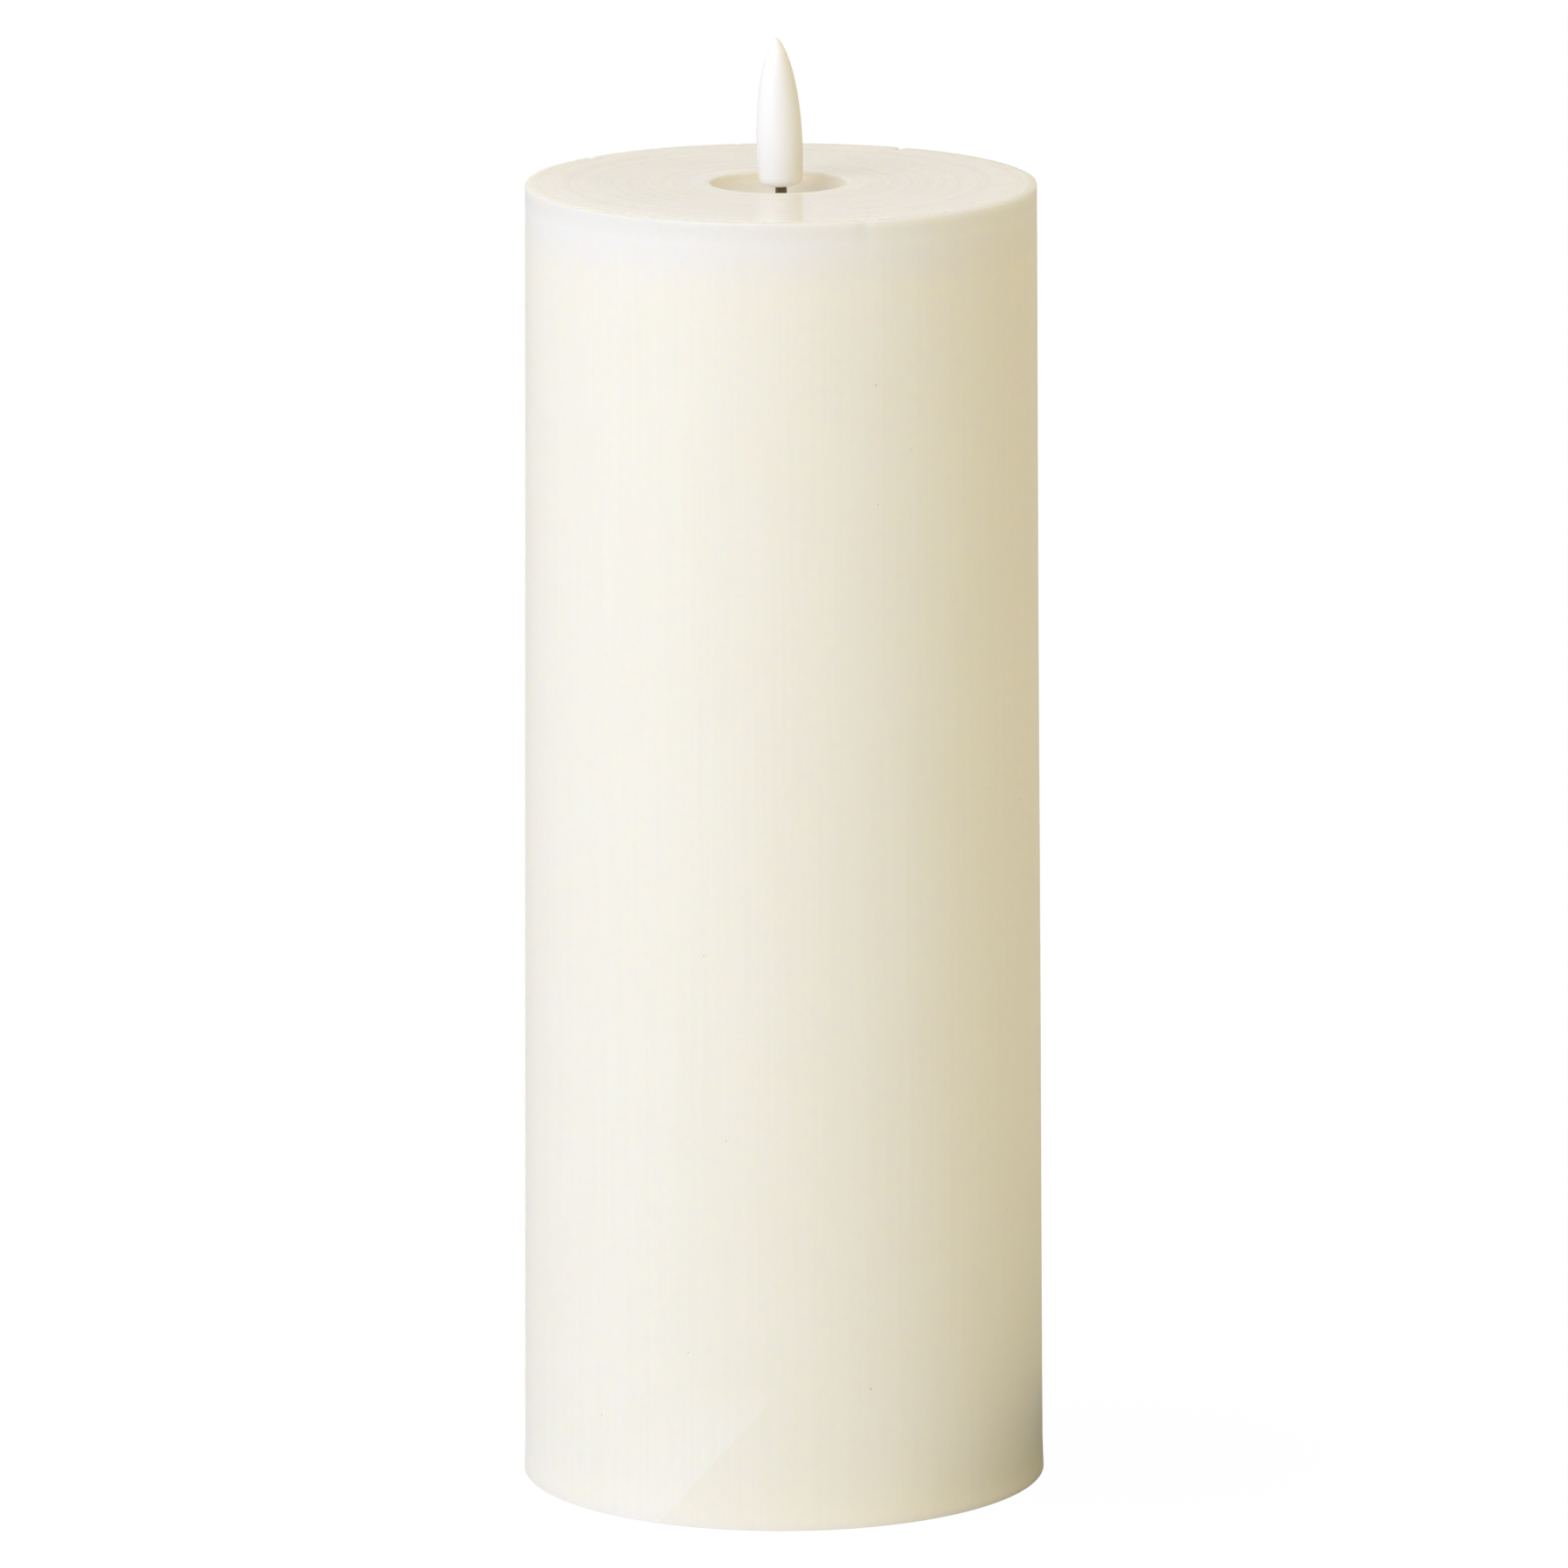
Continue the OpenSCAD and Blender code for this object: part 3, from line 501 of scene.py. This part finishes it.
def flame_paint():
    """Satin white plastic that light passes into, a little warmer near its foot."""
    p = Paint("flame_plastic", IOR=1.46, Subsurface_Weight=1.0, Subsurface_Scale=0.0024,
              Subsurface_Radius=(1.0, 0.86, 0.95))
    height = p.fade(p.split(p.place)[2], FLAME_BASE, FLAME_BASE + FLAME_H)
    grain = p.noise(0.35 * MM, 4, 0.6)
    flow = p.noise(5 * MM, 2, 0.5, stretch=(1, 1, 2))
    colour = p.mix(height, (0.998, 0.985, 0.974), (0.994, 0.985, 0.976))
    colour = p.mix(p.fade(flow, 0.3, 0.7, 0, 0.4), colour, (0.999, 0.992, 0.985))
    p.set(Base_Color=colour, Roughness=p.fade(grain, 0.3, 0.7, 0.34, 0.44))
    p.bump((grain, 0.006 * MM), (flow, 0.05 * MM))
    return p


WICK_R = 1.15 * MM
WICK_BORE = 0.85 * MM


def make_wick():
    """Braided sleeve: two families of strands wind round it and pass over and under each other."""
    low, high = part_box("wick_sleeve")
    rings, segments = 150, 96
    strands, pitch = 5, 4.6 * MM
    outer = [(WICK_R, z, 0.0) for z in np.linspace(low.z, high.z, rings)]
    inner = [(WICK_BORE, z, 0.0) for z in (high.z, low.z)]
    grid = ring_grid(outer + inner, segments)
    x, y, z = grid[:rings, :, 0], grid[:rings, :, 1], grid[:rings, :, 2]
    angle = np.arctan2(y, x)
    turn = 2 * math.pi * z / pitch
    right = np.abs(np.cos((angle * strands + turn * strands / 2) / 2))
    left = np.abs(np.cos((angle * strands - turn * strands / 2) / 2))
    over = 0.5 + 0.5 * np.sin(angle * strands) * np.sin(turn * strands / 2)
    height = np.maximum(right ** 0.5 * (0.55 + 0.45 * over), left ** 0.5 * (1 - 0.45 * over))
    fibre = 0.04 * np.sin(angle * 46 + turn * 3) * height
    scale = 1 - (1 - np.clip(height + fibre, 0, 1)) * 0.17
    grid[:rings, :, 0] *= scale
    grid[:rings, :, 1] *= scale
    faces = grid_faces(rings + 2, segments, True)
    wick = new_piece("wick_braid", grid.reshape(-1, 3), faces, "candle")
    dress(wick, braid_paint())
    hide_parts("wick_sleeve")


def braid_paint():
    """Brown cotton with painted shade between its strands, and fibres along them."""
    p = Paint("wick_braid", Sheen_Weight=0.35, Sheen_Roughness=0.5)
    place = p.split(p.place)
    radius = p.vector_math("LENGTH", p.node("CombineXYZ", {0: place[0], 1: place[1]}).outputs[0])
    raised = p.fade(radius, WICK_R * 0.86, WICK_R)
    fibre = p.noise(0.09 * MM, 4, 0.6, stretch=(1, 1, 5))
    # Painted shade: the cotton is darker where it sinks between the strands.
    colour = p.mix(raised, (0.040, 0.025, 0.014), (0.150, 0.096, 0.055))
    colour = p.mix(p.fade(fibre, 0.45, 0.75, 0, 0.6), colour, (0.26, 0.175, 0.11))
    p.set(Base_Color=colour, Roughness=p.fade(fibre, 0.3, 0.7, 0.75, 0.9))
    p.bump((fibre, 0.03 * MM))
    return p


# ---------------------------------------------------------------- cells

# Half outlines of a cell's steel can and of the film round it, as (radius, height) in millimetres.
CELL_CAN = [(0, 0.05), (4.7, 0.05), (4.95, 0.22), (5.3, 0.22), (5.5, 0.1), (6.2, 0.14), (6.8, 0.22),
            (7.0, 0.6), (7.0, 48.7), (6.85, 49.05), (6.2, 49.3), (4.7, 49.35), (4.35, 49.2),
            (4.2, 48.9), (3.3, 48.9), (3.0, 49.15), (2.6, 49.3), (2.6, 50.25), (2.5, 50.42),
            (2.3, 50.5), (0, 50.5)]
CELL_FILM = [(6.15, 0.1), (6.5, 0.03), (6.9, 0.05), (7.1, 0.25), (7.15, 0.6), (7.15, 20), (7.15, 40),
             (7.15, 48.75), (7.08, 49.15), (6.8, 49.4), (6.3, 49.47), (6.15, 49.4), (6.2, 49.33),
             (6.88, 49.08), (7.02, 48.7), (7.02, 0.6), (6.82, 0.2), (6.2, 0.12)]
# Silver bands on the film: distance from the flat end and half width, in millimetres.
CELL_BANDS = [(39.5, 1.6), (43.0, 0.5), (2.2, 0.35)]
# Each cell: its node, and 1 if its raised end points along +X or -1 if along -X.
CELLS = [("aa_cell_1", -1), ("aa_cell_2", 1)]


def make_cells():
    for node, way in CELLS:
        low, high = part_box(node)
        flat_end = low.x if way > 0 else high.x
        centre = (low + high) / 2
        turn = Matrix.Rotation(way * math.pi / 2, 4, "Y")
        place = Matrix.Translation((flat_end, centre.y, centre.z)) @ turn
        can = [(r * MM, z * MM) for r, z in CELL_CAN]
        steel = lathe(node.replace("aa_cell", "cell_can"), can, 96, "candle", place)
        dress(steel, cell_steel_paint(centre))
        film = [(r * MM, z * MM, 0.0) for r, z in CELL_FILM]
        points = ring_grid(film, 128).reshape(-1, 3) @ np.array(place.to_3x3()).T
        faces = grid_faces(len(film), 128, True)
        sleeve = new_piece(node.replace("aa_cell", "cell_film"), points + np.array(place.translation),
                           faces, "candle")
        dress(sleeve, cell_film_paint(flat_end, way))
        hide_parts(node)


def cell_steel_paint(centre):
    """Nickel-plated steel with fine rings from pressing and a few scuffs from contacts."""
    p = Paint("cell_steel", Metallic=1.0)
    place = p.split(p.place)
    across = p.node("CombineXYZ", {0: p.math("SUBTRACT", place[1], centre.y),
                                   1: p.math("SUBTRACT", place[2], centre.z)}).outputs[0]
    rings = p.line_noise(p.vector_math("LENGTH", across), 0.25 * MM, 3)
    scuffs = p.fade(p.noise(0.9 * MM, 5, 0.7), 0.52, 0.62)
    p.set(Base_Color=p.mix(scuffs, (0.72, 0.71, 0.68), (0.50, 0.49, 0.46)))
    p.set(Roughness=p.fade(rings, 0.3, 0.7, 0.24, 0.40))
    p.bump((rings, 0.010 * MM), (scuffs, 0.010 * MM))
    return p


def cell_film_paint(flat_end, way):
    """Printed film: deep green with silver bands and fine scratches along it."""
    p = Paint("cell_film", Coat_Weight=0.25, Coat_Roughness=0.2)
    along = p.math("MULTIPLY", p.math("SUBTRACT", p.split(p.place)[0], flat_end), float(way))
    colour = p.mix(p.noise(7 * MM, 3), (0.022, 0.085, 0.050), (0.030, 0.105, 0.062))
    metal = 0.0
    for at, half in CELL_BANDS:
        away = p.math("ABSOLUTE", p.math("SUBTRACT", along, at * MM))
        metal = p.math("MAXIMUM", p.fade(away, half * MM, (half - 0.05) * MM), metal)
    colour = p.mix(metal, colour, (0.66, 0.66, 0.64))
    scratch = p.fade(p.noise(0.5 * MM, 4, 0.7, stretch=(12, 1, 1)), 0.64, 0.70)
    colour = p.mix(p.math("MULTIPLY", scratch, 0.35), colour, (0.45, 0.47, 0.45))
    p.set(Base_Color=colour, Metallic=p.math("MULTIPLY", metal, 0.85))
    p.set(Roughness=p.fade(p.noise(1.5 * MM, 4), 0.3, 0.7, 0.30, 0.42))
    p.bump((p.noise(2.5 * MM, 3, stretch=(4, 1, 1)), 0.03 * MM), (scratch, 0.004 * MM))
    return p


# ---------------------------------------------------------------- finishes of the CAD pieces

def moulded_paint(name, dark, light, grain=0.30 * MM, depth=0.022 * MM, gloss=(0.42, 0.56)):
    """Moulded plastic with a spark-eroded grain, soft flow marks and rubbed patches."""
    p = Paint(name)
    spark = p.noise(grain, 3, 0.6)
    flow = p.noise(14 * MM, 3, 0.5, stretch=(1, 1.6, 1))
    rubbed = p.fade(p.noise(6 * MM, 5, 0.65), 0.55, 0.70)
    colour = p.mix(flow, dark, light)
    p.set(Base_Color=p.mix(p.fade(spark, 0.35, 0.7, 0, 0.25), colour, tuple(0.88 * c for c in dark)))
    p.set(Roughness=p.math("SUBTRACT", p.fade(spark, 0.3, 0.7, *gloss), p.math("MULTIPLY", rubbed, 0.10)))
    p.bump((flow, 0.05 * MM), (spark, depth))
    return p


def metal_paint(name, colour, tarnish, rough, stretch=(1, 1, 1), depth=0.006 * MM, size=0.25 * MM):
    """Plated metal: brushed along one way, with duller patches."""
    p = Paint(name, Metallic=1.0)
    brush = p.noise(size, 3, 0.6, stretch=stretch)
    patch = p.fade(p.noise(2.6 * MM, 4, 0.6), 0.40, 0.68)
    p.set(Base_Color=p.mix(patch, colour, tarnish))
    p.set(Roughness=p.math("ADD", p.fade(brush, 0.3, 0.7, *rough), p.math("MULTIPLY", patch, 0.10)))
    p.bump((brush, depth), (patch, 0.5 * depth))
    return p


def cord_paint(name, dark, light):
    """Satin PVC insulation, slightly wavy, with dust on it."""
    p = Paint(name, Coat_Weight=0.15, Coat_Roughness=0.35)
    ripple = p.noise(1.4 * MM, 2, 0.5)
    dust = p.fade(p.noise(0.22 * MM, 4, 0.7), 0.60, 0.72)
    colour = p.mix(p.fade(ripple, 0.3, 0.7), dark, light)
    p.set(Base_Color=p.mix(p.math("MULTIPLY", dust, 0.3), colour, (0.55, 0.52, 0.47)))
    p.set(Roughness=p.fade(ripple, 0.3, 0.7, 0.34, 0.46))
    p.bump((ripple, 0.05 * MM), (dust, 0.01 * MM))
    return p


def glue_paint():
    """Cloudy hot-melt glue with strings and bubbles."""
    p = Paint("hot_melt", IOR=1.48, Subsurface_Weight=0.7, Subsurface_Scale=0.003,
              Subsurface_Radius=(1.0, 0.8, 0.5), Roughness=0.22)
    cloud = p.noise(3 * MM, 4, 0.6)
    bubbles = p.dots(1.6 * MM, 0.35 * MM)
    colour = p.mix(cloud, (0.74, 0.66, 0.46), (0.88, 0.83, 0.68))
    p.set(Base_Color=p.mix(p.math("MULTIPLY", bubbles, 0.5), colour, (0.95, 0.93, 0.85)))
    p.bump((p.noise(5 * MM, 2), 0.5 * MM), (bubbles, 0.06 * MM))
    return p


def led_paint():
    """Clear yellowish epoxy over a yellow phosphor cup, on tinned legs."""
    p = Paint("led_resin", IOR=1.52, Coat_Weight=0.3, Coat_Roughness=0.1)
    z = p.split(p.place)[2]
    leg = p.fade(z, FLAME_BASE + 1.2 * MM, FLAME_BASE + 1.1 * MM)
    cup = p.fade(z, FLAME_BASE + 3.6 * MM, FLAME_BASE + 2.4 * MM)
    haze = p.noise(0.5 * MM, 3)
    resin = p.mix(cup, (0.93, 0.88, 0.66), (0.95, 0.72, 0.16))
    resin = p.mix(p.fade(haze, 0.3, 0.7, 0, 0.3), resin, (0.97, 0.93, 0.80))
    p.set(Base_Color=p.mix(leg, resin, (0.70, 0.70, 0.70)), Metallic=leg)
    p.set(Transmission_Weight=p.math("MULTIPLY", p.math("SUBTRACT", 1.0, leg), 0.35))
    p.set(Roughness=p.fade(haze, 0.3, 0.7, 0.10, 0.22))
    p.bump((haze, 0.01 * MM))
    return p


def board_paint():
    """Green solder mask with raised tracks, tinned pads and the weave of the glass cloth."""
    p = Paint("board_laminate", Coat_Weight=0.3, Coat_Roughness=0.25)
    x, y, _ = p.split(p.place)
    jog = p.math("MULTIPLY", p.math("FLOOR", p.math("DIVIDE", x, 5.5 * MM)), 0.55 * MM)
    lane = p.math("PINGPONG", p.math("ADD", y, jog), 0.9 * MM)
    track = p.math("MULTIPLY", p.fade(lane, 0.26 * MM, 0.20 * MM), p.fade(p.noise(9 * MM, 0), 0.44, 0.46))
    weave = p.math("MULTIPLY", p.math("SINE", p.math("DIVIDE", x, 0.09 * MM)),
                   p.math("SINE", p.math("DIVIDE", y, 0.09 * MM)))
    pads = p.dots(3.4 * MM, 0.55 * MM)
    mask = p.mix(p.fade(weave, -1, 1), (0.012, 0.105, 0.045), (0.018, 0.135, 0.060))
    mask = p.mix(track, mask, (0.045, 0.24, 0.115))
    p.set(Base_Color=p.mix(pads, mask, (0.74, 0.73, 0.70)), Metallic=p.math("MULTIPLY", pads, 0.9))
    p.set(Roughness=p.fade(p.noise(4 * MM, 4), 0.3, 0.7, 0.26, 0.40))
    p.bump((track, 0.04 * MM), (weave, 0.006 * MM), (pads, 0.05 * MM))
    return p


def chip_paint():
    """Black moulded epoxy with a fine matte grain and a round mark by its first leg."""
    low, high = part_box("timer_chip")
    p = Paint("chip_epoxy")
    grain = p.noise(0.10 * MM, 4, 0.6)
    corner = (low.x + 1.6 * MM, low.y + 1.9 * MM, high.z)
    away = p.vector_math("LENGTH", p.vector_math("SUBTRACT", p.place, corner))
    mark = p.fade(away, 0.34 * MM, 0.28 * MM)
    colour = p.mix(grain, (0.018, 0.018, 0.020), (0.040, 0.040, 0.044))
    rubbed = p.math("MULTIPLY", p.fade(p.noise(1.2 * MM, 2), 0.2, 0.8), 0.08)
    p.set(Base_Color=p.mix(mark, colour, (0.10, 0.10, 0.105)))
    p.set(Roughness=p.math("SUBTRACT", p.fade(grain, 0.3, 0.7, 0.55, 0.68), rubbed))
    p.bump((grain, 0.010 * MM), (p.math("SUBTRACT", 1.0, mark), 0.08 * MM))
    return p


def capacitor_paint():
    """Shrunk dark blue sleeve with a pale stripe down one side, and a bare scored top."""
    low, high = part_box("capacitor")
    centre = (low + high) / 2
    p = Paint("capacitor_sleeve", Coat_Weight=0.3, Coat_Roughness=0.2)
    x, y, z = p.split(p.place)
    dx, dy = p.math("SUBTRACT", x, centre.x), p.math("SUBTRACT", y, centre.y)
    from_axis = p.vector_math("LENGTH", p.node("CombineXYZ", {0: dx, 1: dy}).outputs[0])
    can_r = high.x - centre.x
    top = p.math("MULTIPLY", p.fade(z, high.z - 0.15 * MM, high.z - 0.10 * MM),
                 p.fade(from_axis, can_r * 0.84, can_r * 0.80))
    across, along = p.math("ABSOLUTE", dx), p.math("ABSOLUTE", dy)
    stripe = p.math("MULTIPLY", p.fade(dx, 1.5 * MM, 1.6 * MM), p.fade(along, 0.9 * MM, 0.8 * MM))
    cross = p.fade(p.math("MINIMUM", across, along), 0.16 * MM, 0.08 * MM)
    film = p.mix(p.noise(2 * MM, 3), (0.012, 0.020, 0.085), (0.018, 0.030, 0.115))
    film = p.mix(stripe, film, (0.62, 0.65, 0.68))
    p.set(Base_Color=p.mix(top, film, (0.74, 0.74, 0.75)), Metallic=top)
    p.set(Roughness=p.fade(p.noise(0.8 * MM, 3), 0.3, 0.7, 0.28, 0.42))
    p.bump((p.noise(1.5 * MM, 3, stretch=(1, 1, 4)), 0.03 * MM),
           (p.math("SUBTRACT", 1.0, p.math("MULTIPLY", cross, top)), 0.12 * MM))
    return p


def resistor_paint():
    """Black fired film, with a painted highlight along the top of the bodies."""
    p = Paint("resistor_body")
    low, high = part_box("resistors")
    fleck = p.noise(0.16 * MM, 4, 0.6)
    highlight_height = p.fade(p.split(p.place)[2], low.z, high.z)
    colour = p.mix(fleck, (0.020, 0.020, 0.022), (0.075, 0.073, 0.070))
    # Painted highlight: the top tenth of the bodies' height is paler.
    p.set(Base_Color=p.mix(p.fade(highlight_height, 0.9, 1.0, 0.0, 0.25), colour, (0.15, 0.15, 0.15)))
    p.set(Roughness=p.fade(fleck, 0.3, 0.7, 0.35, 0.55))
    p.bump((fleck, 0.012 * MM))
    return p


def knob_paint():
    """Satin black plastic with a rubbed crown where a finger pushes it."""
    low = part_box("switch_knob")[0]
    dark, light = (0.022, 0.022, 0.024), (0.034, 0.034, 0.037)
    p = moulded_paint("knob_plastic", dark, light, 0.18 * MM, 0.012 * MM)
    crown = p.fade(p.split(p.place)[2], low.z + 0.5 * MM, low.z)
    worn = p.math("MULTIPLY", crown, p.fade(p.noise(0.7 * MM, 4, 0.6), 0.35, 0.65, 0.2, 0.8))
    p.set(Base_Color=p.mix(worn, (0.026, 0.026, 0.028), (0.085, 0.083, 0.080)))
    return p


def make_finishes():
    """Gives every CAD piece that stays in sight its own material."""
    ivory = moulded_paint("base_plastic", (0.83, 0.79, 0.69), (0.87, 0.835, 0.74))
    nickel = metal_paint("contact_steel", (0.73, 0.72, 0.69), (0.60, 0.58, 0.54), (0.20, 0.32))
    red = cord_paint("red_insulation", (0.36, 0.014, 0.012), (0.48, 0.024, 0.018))
    black = cord_paint("black_insulation", (0.014, 0.014, 0.015), (0.028, 0.028, 0.030))
    zinc = metal_paint("screw_steel", (0.62, 0.63, 0.64), (0.50, 0.51, 0.50), (0.26, 0.40))
    shrink = moulded_paint("shrink_sleeve", (0.020, 0.020, 0.020), (0.040, 0.040, 0.040), 0.5 * MM)
    crystal = metal_paint("crystal_can", (0.76, 0.76, 0.76), (0.62, 0.62, 0.61), (0.18, 0.30))
    solder = metal_paint("solder", (0.72, 0.73, 0.74), (0.56, 0.56, 0.56), (0.14, 0.30), depth=0.02 * MM)
    tin = metal_paint("switch_can", (0.66, 0.66, 0.64), (0.54, 0.53, 0.50), (0.28, 0.42), (9, 1, 1))
    nylon = moulded_paint("switch_nylon", (0.020, 0.020, 0.021), (0.032, 0.032, 0.034), 0.2 * MM)
    finishes = {
        ivory: ["base_housing", "wick_plug", "module_cover", "battery_door", "door_latch"],
        nickel: ["positive_contact", "negative_contact", "bridge_contact"],
        red: ["flame_lead_red", "battery_lead_red"],
        black: ["flame_lead_black", "battery_lead_black"],
        zinc: ["cover_screws", "board_screws"],
        shrink: ["joint_sleeves"],
        crystal: ["timer_crystal"],
        solder: ["solder_joints"],
        tin: ["switch_body"],
        nylon: ["switch_actuator"],
        knob_paint(): ["switch_knob"],
        led_paint(): ["flame_led"],
        glue_paint(): ["base_glue_ring"],
        board_paint(): ["control_board"],
        chip_paint(): ["timer_chip"],
        capacitor_paint(): ["capacitor"],
        resistor_paint(): ["resistors"],
    }
    for paint, names in finishes.items():
        for name in names:
            dress(NODES[name], paint)


# Edges that a mould leaves slightly round: the radius on each CAD piece, in millimetres.
ROUNDED = {"base_housing": 0.25, "battery_door": 0.22, "door_latch": 0.2, "module_cover": 0.25,
           "wick_plug": 0.25, "switch_knob": 0.12, "switch_actuator": 0.12, "timer_chip": 0.08,
           "timer_crystal": 0.1, "control_board": 0.08, "switch_body": 0.1}


def round_edges():
    for name, radius in ROUNDED.items():
        weld = NODES[name].modifiers.new("weld", "WELD")
        weld.merge_threshold = 0.002 * MM
        bevel = NODES[name].modifiers.new("bevel", "BEVEL")
        bevel.width = radius * MM
        bevel.segments = 2
        bevel.limit_method = "ANGLE"
        bevel.angle_limit = math.radians(50)
        bevel.harden_normals = True
        bevel.use_clamp_overlap = True


# ---------------------------------------------------------------- stage and light

BACKDROP_GLOW = 1.02
FLOOR_HALF = 6.0
FLOOR_SIDES = 96
FLOOR_HOLE = 49.9 * MM
FLOOR_TONE = (0.71, 0.70, 0.75)
# How much of the floor that the camera sees is the even glow of the backdrop.
FLOOR_EVEN = 0.97
# A painted shadow: the floor paper is darker round this place to the right of the foot, so it gives back
# less light there: its middle, its radii and its tone.
PAINTED_SHADOW_SPOT, PAINTED_SHADOW_EDGE, PAINTED_SHADOW_CORE = (66 * MM, 6 * MM, 0), 74 * MM, 24 * MM
PAINTED_SHADOW_TONE = (0.0, 0.05, 0.25)


def make_floor():
    """A pale plane with a hole just inside the foot, so that the underside has light too."""
    turn = [2 * math.pi * k / FLOOR_SIDES for k in range(FLOOR_SIDES)]
    points = [(r * math.cos(a), r * math.sin(a), 0) for r in (FLOOR_HOLE, FLOOR_HALF) for a in turn]
    faces = []
    for k in range(FLOOR_SIDES):
        after = (k + 1) % FLOOR_SIDES
        faces.append((k, k + FLOOR_SIDES, after + FLOOR_SIDES, after))
    mesh = bpy.data.meshes.new("floor")
    mesh.from_pydata(points, [], faces)
    floor = bpy.data.objects.new("floor", mesh)
    bpy.context.scene.collection.objects.link(floor)
    mesh.materials.append(floor_material())


def floor_material():
    """White to the camera, paper with a painted shadow right of the foot to all other light, and clear
    from below.
    """
    material = bpy.data.materials.new("floor")
    n = Nodes(material)
    geometry = n.node("NewGeometry").outputs
    away = n.vector_math("LENGTH", n.vector_math("SUBTRACT", geometry["Position"], PAINTED_SHADOW_SPOT))
    # Painted shadow: the paper is darker round the spot to the right of the foot.
    tone = n.mix(n.fade(away, PAINTED_SHADOW_EDGE, PAINTED_SHADOW_CORE), FLOOR_TONE, PAINTED_SHADOW_TONE)
    paper = n.node("BsdfDiffuse", {"Color": tone}).outputs[0]
    glow = n.node("Emission", {"Color": (1, 1, 1, 1), "Strength": BACKDROP_GLOW}).outputs[0]
    clear = n.node("BsdfTransparent").outputs[0]
    even = n.math("MULTIPLY", n.node("LightPath").outputs["Is Camera Ray"], FLOOR_EVEN)
    seen = n.node("MixShader", {0: even, 1: paper, 2: glow}).outputs[0]
    whole = n.node("MixShader", {0: geometry["Backfacing"], 1: seen, 2: clear}).outputs[0]
    n.feed(n.tree.nodes["Material Output"].inputs["Surface"], whole)
    return material


# Each lobe of the studio light: the direction it comes from, how narrow it is, its colour.
LOBES = [((-0.62, -0.70, 0.36), 2.0, (0.34, 0.415, 0.45)), ((-0.22, -0.96, 0.10), 3.0, (0.0, 0.03, 0.32)),
         ((0.0, 0.97, 0.25), 2.0, (0.08, 0.14, 0.14))]
AMBIENT = (0.73, 0.67, 0.63)
# Light that is missing on the right, in the same terms. Reflections don't have this.
SHADE_FROM, SHADE_POWER, SHADE = (0.97, -0.24, 0.0), 1.2, (0.0, 0.12, 0.62)


def make_world():
    """Soft light from all round, with a plain white backdrop for the camera."""
    world = bpy.data.worlds.new("studio")
    bpy.context.scene.world = world
    n = Nodes(world)
    facing = n.node("TexCoord").outputs["Generated"]
    path = n.node("LightPath").outputs
    total = AMBIENT
    for direction, power, colour in LOBES:
        total = n.vector_math("ADD", total, lobe(n, facing, direction, power, colour))
    shaded = n.vector_math("SUBTRACT", total, lobe(n, facing, SHADE_FROM, SHADE_POWER, SHADE))
    colour = n.mix(path["Is Glossy Ray"], shaded, total)
    light = n.node("Background", {"Color": colour, "Strength": 1.0}).outputs[0]
    backdrop = n.node("Background", {"Color": (1, 1, 1, 1), "Strength": BACKDROP_GLOW}).outputs[0]
    both = n.node("MixShader", {0: path["Is Camera Ray"], 1: light, 2: backdrop})
    n.feed(n.tree.nodes["World Output"].inputs["Surface"], both.outputs[0])


def lobe(n, facing, direction, power, colour):
    """Light that is strongest from one direction and fades to none at right angles to it."""
    towards = Vector(direction).normalized()
    along = n.math("MAXIMUM", n.vector_math("DOT_PRODUCT", facing, tuple(towards)), 0.0)
    fall = n.math("POWER", along, power)
    grey = n.node("CombineXYZ", {0: fall, 1: fall, 2: fall}).outputs[0]
    return n.vector_math("MULTIPLY", grey, colour)


def make_light(name, place, size, watts, colour):
    """A soft square lamp that faces the middle of the candle."""
    data = bpy.data.lights.new(name, "AREA")
    data.size = size
    data.energy = watts
    data.color = colour
    lamp = bpy.data.objects.new(name, data)
    bpy.context.scene.collection.objects.link(lamp)
    lamp.location = place
    aim = Vector((0, 0, WAX_TOP / 2)) - Vector(place)
    lamp.rotation_euler = aim.to_track_quat("-Z", "Y").to_euler()


make_camera()
make_world()
make_floor()
make_light("key", (-1.1, -1.35, 1.15), 1.1, 12, (0.93, 0.96, 1.04))
bpy.context.scene.view_settings.view_transform = "Standard"

make_wax()
make_flame()
make_wick()
make_cells()
make_finishes()
round_edges()
